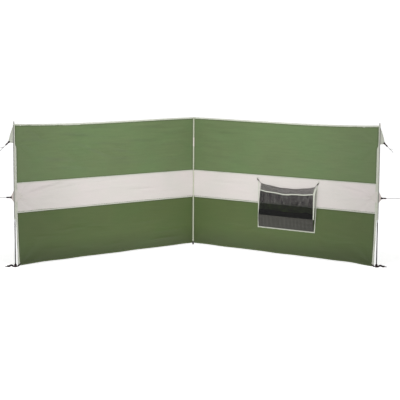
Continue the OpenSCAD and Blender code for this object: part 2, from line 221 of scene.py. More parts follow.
def build(name, parts, side, place, body, material, slot, replaces=()):
    """One object from several (verts, faces, uv) in a place's own frame."""
    verts, faces, uvs, offset = [], [], [], 0
    for v, f, uv in parts:
        verts.append(PLACES[place](side, v))
        uvs.append(np.asarray(uv, float))
        faces += [[i + offset for i in face] for face in
                  (f.tolist() if isinstance(f, np.ndarray) else f)]
        offset += len(v)
    if side == "left" and place != "row":
        faces = [face[::-1] for face in faces]
    mesh = bpy.data.meshes.new(name)
    mesh.from_pydata(np.concatenate(verts).tolist(), [], faces)
    uv = np.concatenate(uvs)
    loops = np.zeros(len(mesh.loops), int)
    mesh.loops.foreach_get("vertex_index", loops)
    layer = mesh.uv_layers.new(name="cloth")
    layer.data.foreach_set("uv", uv[loops].ravel())
    mesh.polygons.foreach_set("use_smooth", [True] * len(mesh.polygons))
    mesh.validate()
    mesh.materials.append(material)
    piece = bpy.data.objects.new(name, mesh)
    bpy.context.scene.collection.objects.link(piece)
    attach(piece, body)
    if replaces:
        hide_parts(*replaces)
    return piece


# ---- materials ---------------------------------------------------------------

def node_material(name):
    m = bpy.data.materials.new(name)
    m.use_nodes = True
    nt = m.node_tree
    return m, nt, nt.nodes["Principled BSDF"]


def add(nt, kind, **settings):
    n = nt.nodes.new(kind)
    for key, value in settings.items():
        if key in n.inputs:
            n.inputs[key].default_value = value
        else:
            setattr(n, key, value)
    return n


def stretched_noise(nt, source, scale, stretch, detail=2.0, rough=0.5):
    """Noise on coordinates stretched by (x, y, z)."""
    mapping = add(nt, "ShaderNodeMapping")
    mapping.inputs["Scale"].default_value = stretch
    nt.links.new(source, mapping.inputs["Vector"])
    noise = add(nt, "ShaderNodeTexNoise", Scale=scale, Detail=detail, Roughness=rough)
    nt.links.new(mapping.outputs[0], noise.inputs["Vector"])
    return noise.outputs["Fac"]


def ramp(nt, source, low, high, a, b):
    """Maps source from low..high to a..b."""
    r = add(nt, "ShaderNodeMapRange")
    r.inputs["From Min"].default_value, r.inputs["From Max"].default_value = low, high
    r.inputs["To Min"].default_value, r.inputs["To Max"].default_value = a, b
    nt.links.new(source, r.inputs["Value"])
    return r.outputs[0]


def times(nt, a, b, operation="MULTIPLY"):
    n = add(nt, "ShaderNodeMath", operation=operation)
    for socket, value in zip(n.inputs, (a, b)):
        if isinstance(value, (int, float)):
            socket.default_value = value
        else:
            nt.links.new(value, socket)
    return n.outputs[0]


def shade(nt, rgb, factor, shader, tint=None, tint_factor=None):
    """rgb, brightened or darkened by factor, and shifted to tint by tint_factor."""
    colour = add(nt, "ShaderNodeRGB")
    colour.outputs[0].default_value = (*rgb, 1)
    out = colour.outputs[0]
    if tint is not None:
        mix = add(nt, "ShaderNodeMix", data_type="RGBA")
        nt.links.new(tint_factor, mix.inputs["Factor"])
        nt.links.new(out, mix.inputs["A"])
        mix.inputs["B"].default_value = (*tint, 1)
        out = mix.outputs["Result"]
    scale = add(nt, "ShaderNodeVectorMath", operation="SCALE")
    nt.links.new(out, scale.inputs[0])
    nt.links.new(factor, scale.inputs["Scale"])
    nt.links.new(scale.outputs[0], shader.inputs["Base Color"])


def constants(shader, **values):
    """Sets sockets such as sheen_weight, by their names in lower case."""
    for name, value in values.items():
        title = name.replace("_", " ").title().replace("Ior", "IOR")
        shader.inputs[title].default_value = value


def bump(nt, height, distance, shader, strength=1.0):
    b = add(nt, "ShaderNodeBump", Strength=strength, Distance=distance)
    nt.links.new(height, b.inputs["Height"])
    nt.links.new(b.outputs[0], shader.inputs["Normal"])


def cloth_uv(nt):
    return add(nt, "ShaderNodeUVMap", uv_map="cloth").outputs[0]


def object_xyz(nt):
    return add(nt, "ShaderNodeTexCoord").outputs["Object"]


def woven(name, rgb, tint=None, thread=0.0011, rough=0.62, sheen=0.15, contrast=0.10,
          blotch_and_fold_shade=0.05, bump_mm=0.12, hem_painted_shade=None, specular=0.35):
    """Plain-woven cloth on its own flat coordinates in metres.

    The hem shade argument is how far the colour darkens towards the ground: painted shade.
    """
    m, nt, sh = node_material(name)
    uv = cloth_uv(nt)
    per_m = 1 / thread
    warp = stretched_noise(nt, uv, 1.0, (per_m, per_m / 26, 1), 1.0)
    weft = stretched_noise(nt, uv, 1.0, (per_m / 26, per_m, 1), 1.0)
    weave = times(nt, warp, weft, "ADD")
    # broad blotches and long horizontal streaks: random tone, and also painted fold shade where the
    # blotch setting is raised
    broad = stretched_noise(nt, uv, 1.0, (2.2, 3.4, 1), 3.0, 0.55)
    streak = stretched_noise(nt, uv, 1.0, (4.0, 55.0, 1), 3.0, 0.6)
    tone = times(nt, ramp(nt, weave, 0.6, 1.4, 1 - contrast, 1 + contrast),
                 ramp(nt, broad, 0.3, 0.7, 1 - blotch_and_fold_shade, 1 + blotch_and_fold_shade))
    tone = times(nt, tone, ramp(nt, streak, 0.3, 0.7, 1 - blotch_and_fold_shade * 0.6, 1 + blotch_and_fold_shade * 0.6))
    # painted shade: the colour darkens towards the ground
    if hem_painted_shade is not None:
        split = add(nt, "ShaderNodeSeparateXYZ")
        nt.links.new(uv, split.inputs[0])
        height = times(nt, split.outputs["Y"], times(nt, broad, 0.12), "ADD")
        tone = times(nt, tone, ramp(nt, height, 0.07, 0.30, hem_painted_shade, 1.0))
    if tint is None:
        shade(nt, rgb, tone, sh)
    else:
        shade(nt, rgb, tone, sh, tint, ramp(nt, broad, 0.42, 0.62, 0, 1))
    constants(sh, roughness=rough, sheen_weight=sheen, sheen_roughness=0.4, specular_ior_level=specular)
    nt.links.new(ramp(nt, weave, 0.6, 1.4, rough - 0.08, rough + 0.08), sh.inputs["Roughness"])
    bump(nt, weave, bump_mm / 1000, sh, 0.8)
    return m


def sleeve_cloth(name, inner, outer):
    """Sleeve cloth, pale next to the wall and darker round its outer side: painted shade."""
    m = woven(name, inner, tint=outer, thread=0.0013, contrast=0.08)
    nt = m.node_tree
    # painted shade round the outer side, set by the angle round the tube; the noise makes its edge
    # uneven
    split = add(nt, "ShaderNodeSeparateXYZ")
    nt.links.new(cloth_uv(nt), split.inputs[0])
    worn = stretched_noise(nt, cloth_uv(nt), 1.0, (90, 30, 1), 3.0)
    uneven = times(nt, ramp(nt, worn, 0.3, 0.7, -1, 1), 0.0012)
    turned = times(nt, split.outputs["X"], uneven, "ADD")
    mix = next(n for n in nt.nodes if n.bl_idname == "ShaderNodeMix")
    nt.links.new(ramp(nt, turned, SLEEVE_R * 4.35, SLEEVE_R * 5.05, 0, 1), mix.inputs["Factor"])
    return m


def ribbed(name, rgb, pitch=0.0012, across=1, rough=0.7, contrast=0.14, bump_mm=0.25,
           worn=None, sheen=0.2):
    """Tape or webbing: ribs run across coordinate `across` of its flat coordinates."""
    m, nt, sh = node_material(name)
    uv = cloth_uv(nt)
    wave = add(nt, "ShaderNodeTexWave", Scale=math.pi / 10 / pitch, Distortion=0.6, Detail=1.0,
               wave_type="BANDS", bands_direction="Y" if across else "X")
    nt.links.new(uv, wave.inputs["Vector"])
    fine = stretched_noise(nt, uv, 1.0, (900, 900, 1), 2.0)
    broad = stretched_noise(nt, uv, 1.0, (14, 14, 1), 3.0)
    tone = times(nt, ramp(nt, wave.outputs["Fac"], 0, 1, 1 - contrast, 1 + contrast * 0.4),
                 ramp(nt, fine, 0.3, 0.7, 0.93, 1.07))
    tone = times(nt, tone, ramp(nt, broad, 0.3, 0.7, 0.92, 1.06))
    if worn is None:
        shade(nt, rgb, tone, sh)
    else:
        shade(nt, rgb, tone, sh, worn, ramp(nt, broad, 0.56, 0.75, 0, 0.6))
    constants(sh, roughness=rough, sheen_weight=sheen, sheen_roughness=0.45, specular_ior_level=0.25)
    height = times(nt, wave.outputs["Fac"], times(nt, fine, 0.4), "ADD")
    bump(nt, height, bump_mm / 1000, sh, 0.8)
    return m


def yarn(name, rgb, rough=0.75, grain=2600, sheen=0.3, contrast=0.22, specular=0.5):
    """Twisted or knitted yarn, with no flat coordinates of its own."""
    m, nt, sh = node_material(name)
    xyz = object_xyz(nt)
    fine = stretched_noise(nt, xyz, 1.0, (grain, grain, grain), 2.0)
    broad = stretched_noise(nt, xyz, 1.0, (18, 18, 18), 2.0)
    tone = times(nt, ramp(nt, fine, 0.3, 0.7, 1 - contrast, 1 + contrast),
                 ramp(nt, broad, 0.3, 0.7, 0.92, 1.08))
    shade(nt, rgb, tone, sh)
    constants(sh, roughness=rough, sheen_weight=sheen, specular_ior_level=specular)
    bump(nt, fine, 0.00012, sh, 0.7)
    return m


def rod_material(name, rgb, rough=0.32, metallic=0.0, coat=0.3, streaks=(900, 900, 6),
                 contrast=0.08, wear=None, specular=0.25):
    """A drawn rod or turned metal: fine streaks along Z, smudges and small wear."""
    m, nt, sh = node_material(name)
    xyz = object_xyz(nt)
    lines = stretched_noise(nt, xyz, 1.0, streaks, 2.0)
    smudge = stretched_noise(nt, xyz, 1.0, (30, 30, 9), 4.0, 0.6)
    tone = times(nt, ramp(nt, lines, 0.3, 0.7, 1 - contrast, 1 + contrast),
                 ramp(nt, smudge, 0.3, 0.7, 0.9, 1.1))
    if wear is None:
        shade(nt, rgb, tone, sh)
    else:
        shade(nt, rgb, tone, sh, wear, ramp(nt, smudge, 0.60, 0.72, 0, 0.7))
    constants(sh, metallic=metallic, coat_weight=coat, coat_roughness=0.25, specular_ior_level=specular)
    nt.links.new(ramp(nt, smudge, 0.3, 0.7, rough - 0.07, rough + 0.12), sh.inputs["Roughness"])
    bump(nt, lines, 0.00004, sh, 0.5)
    return m


def moulded(name, rgb, rough=0.5, wear=(0.16, 0.12, 0.12)):
    """Moulded plastic with a fine spark-eroded grain and rubbed places."""
    m, nt, sh = node_material(name)
    xyz = object_xyz(nt)
    grain = stretched_noise(nt, xyz, 1.0, (2200, 2200, 2200), 2.0)
    rub = stretched_noise(nt, xyz, 1.0, (170, 170, 170), 3.0, 0.6)
    tone = times(nt, ramp(nt, grain, 0.3, 0.7, 0.94, 1.06), ramp(nt, rub, 0.3, 0.7, 0.9, 1.1))
    shade(nt, rgb, tone, sh, wear, ramp(nt, rub, 0.6, 0.74, 0, 0.5))
    nt.links.new(ramp(nt, rub, 0.3, 0.7, rough - 0.06, rough + 0.1), sh.inputs["Roughness"])
    bump(nt, grain, 0.00006, sh, 0.7)
    return m


GREEN = (0.0995, 0.1392, 0.0590)
# the lower panel's green, darkened from the upper one as painted shade
LOWER_GREEN_SHADED = (0.0630, 0.0900, 0.0270)
WHITE = (0.492, 0.466, 0.445)
CREAM = (0.45, 0.465, 0.40)

# the blotch setting is raised here and on the lower green: painted fold shade as well as random tone
mat_green = woven("green_cloth", GREEN, tint=(0.0880, 0.1328, 0.0542), blotch_and_fold_shade=0.08)
# seam cloth darker than its panel: painted shade for the light that passes less through two layers
mat_upper_seam_shade = woven("upper_seam_painted_shade_cloth", tuple(0.82 * c for c in GREEN), contrast=0.12)
# darker towards the ground at the hem: painted shade
mat_lower_green_shaded = woven("lower_green_cloth_painted_shade", LOWER_GREEN_SHADED, tint=(0.0550, 0.0842, 0.0240), hem_painted_shade=0.60,
                 blotch_and_fold_shade=0.065)
# the same painted shade on the lower panel's seams
mat_lower_seam_shade = woven("lower_seam_painted_shade_cloth", tuple(0.78 * c for c in LOWER_GREEN_SHADED),
                        contrast=0.12)
mat_white = woven("stripe_cloth", WHITE, tint=(0.501, 0.461, 0.45), blotch_and_fold_shade=0.02, contrast=0.05)
mat_felled = woven("felled_seam_cloth", (0.42, 0.43, 0.375), contrast=0.08)
mat_patch = woven("patch_cloth", (0.50, 0.455, 0.425), thread=0.0014, contrast=0.08)
# near black: painted shade low inside the pocket
mat_pocket_shade = woven("turned_up_cloth_painted_shade", (0.0065, 0.0065, 0.0065), thread=0.0016, sheen=0.0,
                 specular=0.08)
mat_wall_patch = woven("wall_patch_cloth", (0.475, 0.446, 0.42), thread=0.0014, contrast=0.08)
# pale cloth with painted shade round the sleeve's outer side
mat_sleeve = sleeve_cloth("sleeve_cloth", (0.42, 0.43, 0.37), (0.15, 0.15, 0.145))
mat_cream = ribbed("cream_tape_weave", CREAM)
mat_piping = ribbed("centre_sleeve_weave", (0.375, 0.390, 0.305), pitch=0.0014)
mat_thread_pale = yarn("pale_thread", (0.42, 0.42, 0.36), grain=3200)
mat_thread_green = yarn("green_thread", (0.075, 0.105, 0.05), grain=3200)
mat_net = yarn("net_yarn", (0.0190, 0.0190, 0.0185), grain=1800, sheen=0.0, specular=0.12)
mat_gusset = ribbed("gusset_knit", (0.040, 0.039, 0.033), pitch=0.0016, across=0, contrast=0.25)
mat_cord = yarn("braided_cord", (0.085, 0.080, 0.082), grain=1500, sheen=0.1)
mat_elastic = yarn("elastic_cord", (0.020, 0.018, 0.018), grain=1500, sheen=0.1)
mat_webbing = ribbed("dark_webbing", (0.014, 0.004, 0.007), pitch=0.0016, worn=(0.024, 0.010, 0.012),
                     sheen=0.02)
mat_rod = rod_material("pole_rod_finish", (0.020, 0.019, 0.020), rough=0.48, coat=0.05)
mat_ferrule = rod_material("ferrule_finish", (0.42, 0.42, 0.43), rough=0.30, metallic=0.9,
                           coat=0.0, streaks=(1500, 1500, 60), wear=(0.2, 0.2, 0.2))
mat_eyelet = rod_material("eyelet_finish", (0.62, 0.61, 0.58), rough=0.25, metallic=1.0,
                          coat=0.0, streaks=(700, 700, 700), wear=(0.3, 0.28, 0.25))
mat_tip = moulded("tip_plastic_grain", (0.36, 0.355, 0.345), wear=(0.26, 0.25, 0.24))
mat_boot = moulded("boot_plastic_grain", (0.012, 0.005, 0.007), wear=(0.06, 0.04, 0.04))
mat_runner = moulded("runner_plastic_grain", (0.022, 0.006, 0.010), wear=(0.08, 0.05, 0.05))


def finish_cad(node, material):
    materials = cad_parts[node].data.materials
    materials.clear()
    materials.append(material)


# ---- camera, world and light -------------------------------------------------

CAMERA_AT = Vector((-0.3641, -13.6989, 2.1625))
CAMERA_TURN = (-0.0322, 0.1193, 0.0065)        # yaw, pitch down and roll
CAMERA_LENS = 107.7
FLOOR_REACH = 300.0
FLOOR_FLAT = 14.0      # the floor starts to curve up here, behind the object
FLOOR_CURVE = 8.0
LIGHTS = (
    # kind, name, power, place and target
    ("AREA", "soft_light", 150, Vector((-0.25, -3.6, 4.9)), Vector((0, -0.2, 0.7))),
    ("SPOT", "middle_light", 1500, Vector((-0.4, -8.0, 4.4)), Vector((0, 0, 0.8))),
)


def add_camera():
    yaw, pitch, roll = CAMERA_TURN
    forward = Vector((-math.sin(yaw), math.cos(yaw), 0))
    right = Vector((math.cos(yaw), math.sin(yaw), 0))
    up = Vector((0, 0, 1))
    aim = math.cos(pitch) * forward - math.sin(pitch) * up
    above = math.cos(pitch) * up + math.sin(pitch) * forward
    x = math.cos(roll) * right + math.sin(roll) * above
    y = math.cos(roll) * above - math.sin(roll) * right
    data = bpy.data.cameras.new("camera")
    data.lens, data.sensor_width = CAMERA_LENS, 36
    data.clip_end = 900
    cam = bpy.data.objects.new("camera", data)
    cam.matrix_world = Matrix((
        (x.x, y.x, -aim.x, CAMERA_AT.x), (x.y, y.y, -aim.y, CAMERA_AT.y),
        (x.z, y.z, -aim.z, CAMERA_AT.z), (0, 0, 0, 1)))
    bpy.context.scene.collection.objects.link(cam)
    bpy.context.scene.camera = cam


def add_floor():
    """A pale floor that curves up into a backdrop far behind."""
    profile = [(-FLOOR_REACH, 0.0), (FLOOR_FLAT, 0.0)]
    profile += [(FLOOR_FLAT + FLOOR_CURVE * math.sin(a), FLOOR_CURVE - FLOOR_CURVE * math.cos(a))
                for a in np.linspace(0.1, 1.5, 16)]
    verts = [(x, y, z) for y, z in profile for x in (-FLOOR_REACH, FLOOR_REACH)]
    faces = [(2 * i, 2 * i + 1, 2 * i + 3, 2 * i + 2) for i in range(len(profile) - 1)]
    mesh = bpy.data.meshes.new("studio_floor")
    mesh.from_pydata(verts, [], faces)
    mesh.polygons.foreach_set("use_smooth", [True] * len(faces))
    m, nt, sh = node_material("floor_paint")
    shade(nt, (0.93, 0.93, 0.93), ramp(nt, stretched_noise(nt, object_xyz(nt), 1.0, (2, 2, 2)),
                                     0.3, 0.7, 0.995, 1.005), sh)
    constants(sh, roughness=0.9, specular_ior_level=0.0, emission_color=(1, 1, 1, 1),
              emission_strength=0.68)
    mesh.materials.append(m)
    floor = bpy.data.objects.new("studio_floor", mesh)
    bpy.context.scene.collection.objects.link(floor)


def add_light():
    world = bpy.data.worlds.new("studio")
    world.use_nodes = True
    constants(world.node_tree.nodes["Background"], color=(1, 1, 1, 1), strength=0.34)
    bpy.context.scene.world = world
    for kind, name, power, place, target in LIGHTS:
        data = bpy.data.lights.new(name, kind)
        data.energy = power
        if kind == "AREA":
            data.shape, data.size = "DISK", 1.6
        else:
            data.spot_size, data.spot_blend, data.shadow_soft_size = math.radians(31), 1.0, 0.5
        lamp = bpy.data.objects.new(name, data)
        lamp.matrix_world = Matrix.Translation(place) @ (target - place).to_track_quat(
            "-Z", "Y").to_matrix().to_4x4()
        bpy.context.scene.collection.objects.link(lamp)


bpy.context.scene.view_settings.view_transform = "Standard"
add_camera()
add_floor()
add_light()


# ---- cords, knots and loops --------------------------------------------------

BRAID_PITCH = 0.0045
KNOT_STEPS = 22        # points in each turn of a knot


def braid(path, diameter, name, side, place, body, material, slot, replaces):
    """A braided cord: small crossing ridges on a round tube."""
    sides = 16
    turn = 4 * around(sides)[None, :]
    twist = 2 * math.pi / BRAID_PITCH * arc_length(path)[:, None]
    radius = diameter / 2 * (1 + 0.07 * np.cos(turn + twist) * np.cos(turn - twist))
    return build(name, [tube(path, radius, sides)], side, place, body, material, slot, replaces)


def line(start, end, step=0.0009):
    start, end = np.asarray(start, float), np.asarray(end, float)
    n = max(3, int(round(np.linalg.norm(end - start) / step)) + 1)
    return start + (end - start) * np.linspace(0, 1, n)[:, None]


def wrap_knot(at, along, turns, length, inner, r):
    """Cord wound round another: a short coil whose ends tuck in."""
    along = np.asarray(along, float) / np.linalg.norm(along)
    side_a = np.cross(along, [0, 1, 0])
    side_a /= np.linalg.norm(side_a)
    side_b = np.cross(along, side_a)
    t = np.linspace(0, 1, int(turns * KNOT_STEPS))
    lift = inner + r * (0.35 + 0.65 * smooth(np.minimum(t, 1 - t) * 8))
    ang = 2 * math.pi * turns * t
    return (np.asarray(at) + along * (length * (t - 0.5))[:, None]
            + side_a * (lift * np.cos(ang))[:, None] + side_b * (lift * np.sin(ang))[:, None])


FLAP_POINT = np.array([0.056, 0, 1.286])
TAB_POINT = np.array([0.045, 0, 0.722])
TOP_WAY = np.array([math.cos(math.pi / 4), 0, -math.sin(math.pi / 4)])
MID_WAY = np.array([1.0, 0, 0])
TOP_GUY_L = 0.120
MID_GUY_L = 0.230
SLIP_KNOT_AT = 0.072
TAIL_L = 0.028
LOOP_R = 0.012


def top_knots():
    """The slip knot with its tail, and the knot at the loose end."""
    knot_at = FLAP_POINT + TOP_WAY * (SLIP_KNOT_AT + 0.005)
    t = np.linspace(0, 1, 30)[:, None]
    tail = knot_at + np.array([0.004, 0, 0.001]) + np.concatenate(
        [t * TAIL_L, 0.0012 * np.sin(t * 5), -0.0035 * t ** 2], 1)
    end_at = FLAP_POINT + TOP_WAY * (TOP_GUY_L + 0.0005)
    return [tube(wrap_knot(knot_at, TOP_WAY, 3.2, 0.0075, CORD_D / 2, 0.0014), 0.0014, 10),
            tube(tail, np.r_[np.full(28, 0.0019), 0.0015, 0.0007], 10),
            tube(wrap_knot(end_at, TOP_WAY, 2.4, 0.0050, 0.0008, 0.0016), 0.0016, 10),
            tube(wrap_knot(end_at, TOP_WAY + [0.5, 0, 0.8], 1.4, 0.0035, 0.0014, 0.0015), 0.0015, 10),
            tube(line(end_at, end_at + TOP_WAY * 0.0050, 0.0006), 0.0018, 10)]


def end_loop():
    """The eye tied at the mid guy cord's end, with its knot and tail."""
    loop_at = TAB_POINT + [MID_GUY_L, 0, 0]
    a = np.linspace(0, 2 * math.pi, 72, endpoint=False)
    eye = loop_at + [0.010 + LOOP_R, 0, 0] + np.stack([
        -LOOP_R * np.cos(a) * (1 + 0.12 * np.cos(a)), 0.0008 * np.sin(2 * a),
        LOOP_R * np.sin(a) * (1 - 0.10 * np.cos(a))], -1)
    t = np.linspace(0, 1, 30)[:, None]
    tail = loop_at + [0.001, 0, -0.0028] + np.concatenate(
        [-t * 0.012, 0.001 * np.sin(t * 4), -0.003 * t], 1)
    knot = wrap_knot(loop_at + [0.005, 0, 0], MID_WAY, 3.4, 0.0085, CORD_D / 2, 0.00135)
    return [tube(eye, CORD_D / 2, 12, closed=True),
            tube(line(loop_at, loop_at + [0.0125, 0, 0], 0.0008), CORD_D / 2, 12),
            tube(knot, 0.00135, 10), tube(tail, 0.0015, 10)]


for side in SIDES:
    wall = f"{side}_wall"
    # the top cord runs out and down from the corner flap, the mid one level from its tab
    for height, start, way, length, tie, parts, step in (
            ("top", FLAP_POINT, TOP_WAY, TOP_GUY_L, "knots", top_knots(), 0.006),
            ("mid", TAB_POINT, MID_WAY, MID_GUY_L, "loop", end_loop(), 0.01)):
        end = start + way * length
        cord = braid(line(start, end), CORD_D, f"{side}_{height}_cord", side, "pole", wall, mat_cord,
                     "cord", [f"{side}_{height}_guy_cord"])
        tied = build(f"{side}_{height}_cord_{tie}", parts, side, "pole", wall, mat_cord, "cord",
                     [f"{side}_{height}_guy_{tie}"])
        runner = f"{side}_{height}_tensioner"
        finish_cad(runner, mat_runner)


# ---- the walls' surface ------------------------------------------------------

def ridge(u, z, at_u, at_z, length, width, height, slope):
    """A long soft fold: its crest runs through (at_u, at_z) at a slope."""
    du = u - at_u
    dz = z - at_z - slope * du
    return height * np.exp(-(du / length) ** 2 - (dz / width) ** 2)


def fan(u, z, at_u, at_z, reach, count, height, lean=0.0):
    """Wrinkles that radiate from a point where the fabric is pulled."""
    du, dz = u - at_u, z - at_z
    r = np.hypot(du, dz)
    ang = np.arctan2(dz, np.abs(du) + 1e-6) - lean
    return (height * np.sin(count * ang) * np.exp(-r / reach) * (1 - np.exp(-r / 0.06))
            * np.exp(-(ang / 0.9) ** 2))


# folds listed for each wall's upper panel and stripe: distance along the wall, height, length,
# width, depth and slope
FOLDS = {
    "left": [
        (0.60, 1.405, 0.22, 0.016, -0.0040, 0.02), (1.05, 1.165, 0.20, 0.018, -0.0050, 0.22),
        (1.33, 1.145, 0.15, 0.018, -0.0050, 0.36), (1.93, 1.115, 0.14, 0.026, -0.0075, 0.12),
        (1.02, 1.075, 0.12, 0.015, -0.0045, 0.06), (1.50, 1.290, 0.16, 0.018, 0.0045, 0.02),
        (2.05, 1.300, 0.12, 0.020, -0.0045, 0.08), (0.70, 1.262, 0.26, 0.020, -0.0026, 0.02),
        (0.42, 1.205, 0.24, 0.018, -0.0045, -0.02), (0.62, 1.205, 0.20, 0.018, 0.0016, 0.03),
        (1.62, 1.320, 0.20, 0.015, 0.0050, 0.07), (1.18, 1.205, 0.22, 0.014, 0.0050, 0.09),
        (0.30, 1.330, 0.18, 0.018, -0.0035, 0.00), (1.72, 1.010, 0.24, 0.020, -0.0035, 0.10),
        (0.85, 0.985, 0.28, 0.018, 0.0030, 0.04), (2.18, 1.390, 0.10, 0.030, -0.0060, 0.55),
        (0.38, 1.035, 0.20, 0.016, -0.0030, 0.02), (1.36, 1.395, 0.26, 0.015, 0.0035, 0.03),
        (1.72, 1.105, 0.13, 0.040, -0.0050, 0.45), (1.52, 1.180, 0.14, 0.018, 0.0036, 0.34),
        (2.08, 0.785, 0.22, 0.012, 0.0030, -0.16), (1.92, 0.842, 0.24, 0.012, -0.0028, -0.14),
        (2.12, 0.742, 0.20, 0.011, -0.0024, -0.07), (1.72, 0.790, 0.26, 0.014, 0.0026, -0.10),
        (2.05, 0.690, 0.20, 0.012, 0.0024, 0.05), (1.45, 0.735, 0.25, 0.014, -0.0022, -0.06),
        (1.20, 0.825, 0.22, 0.012, 0.0020, -0.04), (0.75, 0.700, 0.22, 0.013, 0.0020, 0.02),
    ],
    "right": [
        (0.35, 1.400, 0.24, 0.016, -0.0045, -0.03), (0.30, 1.235, 0.20, 0.018, -0.0055, -0.02),
        (0.48, 1.060, 0.26, 0.018, -0.0050, -0.05), (0.42, 1.300, 0.18, 0.015, 0.0045, 0.02),
        (0.62, 0.975, 0.24, 0.016, 0.0045, -0.04), (0.25, 1.130, 0.15, 0.016, 0.0045, -0.03),
        (1.55, 1.075, 0.22, 0.018, -0.0050, -0.03), (1.05, 1.240, 0.30, 0.022, 0.0030, -0.02),
        (1.75, 1.195, 0.20, 0.020, -0.0030, 0.03), (2.05, 1.130, 0.12, 0.026, 0.0040, -0.08),
        (0.85, 1.355, 0.26, 0.018, 0.0030, -0.01), (1.32, 0.950, 0.25, 0.016, -0.0035, -0.02),
        (2.15, 1.400, 0.12, 0.030, -0.0055, -0.50), (1.30, 1.385, 0.24, 0.016, -0.0025, 0.02),
        (0.22, 0.985, 0.14, 0.015, -0.0035, -0.06), (1.92, 1.010, 0.20, 0.018, -0.0030, -0.04),
        (2.08, 0.790, 0.20, 0.012, 0.0046, -0.16), (1.95, 0.745, 0.20, 0.012, -0.0040, -0.06),
        (2.10, 0.680, 0.18, 0.011, 0.0040, 0.06), (0.50, 0.750, 0.22, 0.013, 0.0028, 0.02),
    ],
}
minor = {side: [(rng.uniform(0.15, 2.2), rng.uniform(0.08, 1.44), rng.uniform(0.08, 0.22),
                 rng.uniform(0.009, 0.02), rng.choice([-1, 1]) * rng.uniform(0.0006, 0.0018),
                 rng.uniform(-0.06, 0.08)) for _ in range(60)] for side in SIDES}
pucker = {side: rng.uniform(0, 2 * math.pi, 12) for side in SIDES}

FOLD_WIDTH, MINOR_WIDTH = 1.35, 1.3
FOLD_DEPTH = {"left": 3.1, "right": 1.7}
MINOR_DEPTH = {"left": 2.4, "right": 1.6}

POCKET_U = (0.905, 1.645)
POCKET_Z = (0.300, 0.826)


def relief(side, u, z):
    """How far the wall's middle surface stands out (negative is inward, to the front)."""
    u, z = np.broadcast_arrays(np.asarray(u, float), np.asarray(z, float))
    y = np.zeros(u.shape)
    for at_u, at_z, length, width, height, slope in FOLDS[side]:
        y += ridge(u, z, at_u, at_z, length, FOLD_WIDTH * width, FOLD_DEPTH[side] * height, slope)
    for at_u, at_z, length, width, height, slope in minor[side]:
        y += ridge(u, z, at_u, at_z, length, MINOR_WIDTH * width, MINOR_DEPTH[side] * height, slope)
    # broad slack between the poles, most in the upper panel
    y += 0.006 * np.sin(math.pi * u / WALL_L) * np.sin(2 * math.pi * (z - 0.1) / 1.5)
    y += 0.0035 * np.sin(2 * math.pi * (u / 0.83 + z * 0.6)) * smooth((z - 0.9) / 0.3)
    # pulls at the guy points and the bottom corner
    y += fan(u, z, WALL_L, 1.290, 0.34, 11, 0.0075, -0.15)
    y += fan(u, z, WALL_L - 0.02, 0.722, 0.46, 13, 0.0085)
    y += fan(u, z, WALL_L - 0.05, 0.020, 0.34, 9, 0.0060, 0.35)
    y += fan(u, z, 0.0, 0.020, 0.22, 8, 0.0028, 0.35)
    # the hem hangs slack and turns under near the centre
    low = smooth((0.17 - z) / 0.15)
    y += low * (0.006 * np.exp(-((u - 0.55) / 0.6) ** 2) + 0.0020 * np.sin(2 * math.pi * u / 0.62))
    # small puckers drawn up by the long seams
    p = pucker[side]
    ripple = (np.sin(2 * math.pi * u / 0.031 + 1.6 * np.sin(u * 23 + p[0]))
              * (0.6 + 0.4 * np.sin(u * 9 + p[1])))
    for seam, depth in ((STRIPE_LOW, 0.0007), (STRIPE_HIGH, 0.0007), (HEM_Z + 0.012, 0.0006)):
        y += depth * ripple * np.exp(-((z - seam) / 0.028) ** 2)
    y += 0.0008 * ripple * np.exp(-((z - top_z(u) + BINDING_H + 0.01) / 0.03) ** 2)
    # held flat at both sleeves
    hold = smooth((u - 0.012) / 0.16) * smooth((edge_u(z) - u + 0.004) / 0.10)
    if side == "right":
        # the pocket's frame tape keeps the fabric behind it flat
        box = (smooth((u - POCKET_U[0] + 0.10) / 0.10) * smooth((POCKET_U[1] + 0.13 - u) / 0.10)
               * smooth((z - POCKET_Z[0] + 0.09) / 0.08) * smooth((POCKET_Z[1] + 0.10 - z) / 0.08))
        below = (fan(u, z, POCKET_U[0], POCKET_Z[0] - 0.02, 0.20, 8, 0.0040)
                 + fan(u, z, POCKET_U[1], POCKET_Z[0] - 0.02, 0.20, 8, 0.0040))
        y = y * (1 - 0.92 * box) + below * smooth((POCKET_Z[0] - 0.014 - z) / 0.05)
    return y * hold


def hem_wave(side, u):
    """The hem's own rise and fall."""
    p = pucker[side]
    wave = 0.0012 * np.sin(2 * math.pi * u / 0.71 + p[2]) + 0.0006 * np.sin(u * 17 + p[3])
    dip = {"left": 0.009, "right": 0.015}[side] * smooth((u - 2.02) / 0.33)
    return wave * smooth(u / 0.2) * smooth((WALL_L - 0.08 - u) / 0.2) - dip


def wall_grid(side, low, high, rows=None, start=0.0086, stand=0.0):
    """A grid on the wall between two heights, each a number or a function of u."""
    low_f = low if callable(low) else lambda u: np.full_like(u, low)
    high_f = high if callable(high) else lambda u: np.full_like(u, high)
    if rows is None:
        middle = np.array([WALL_L / 2])
        rows = max(3, int(round(float(high_f(middle)[0] - low_f(middle)[0]) / ROW_STEP)) + 1)
    v = np.linspace(0, 1, rows)[:, None]
    t = np.linspace(0, 1, WALL_COLS)[None, :]
    u = np.broadcast_to(start + t * (WALL_L - 0.03 - start), (rows, WALL_COLS))
    for _ in range(3):
        z = low_f(u) + v * (high_f(u) - low_f(u))
        u = start + t * (edge_u(z) - start)
    z = low_f(u) + v * (high_f(u) - low_f(u))
    return np.stack([u, relief(side, u, z) - stand, z], -1)


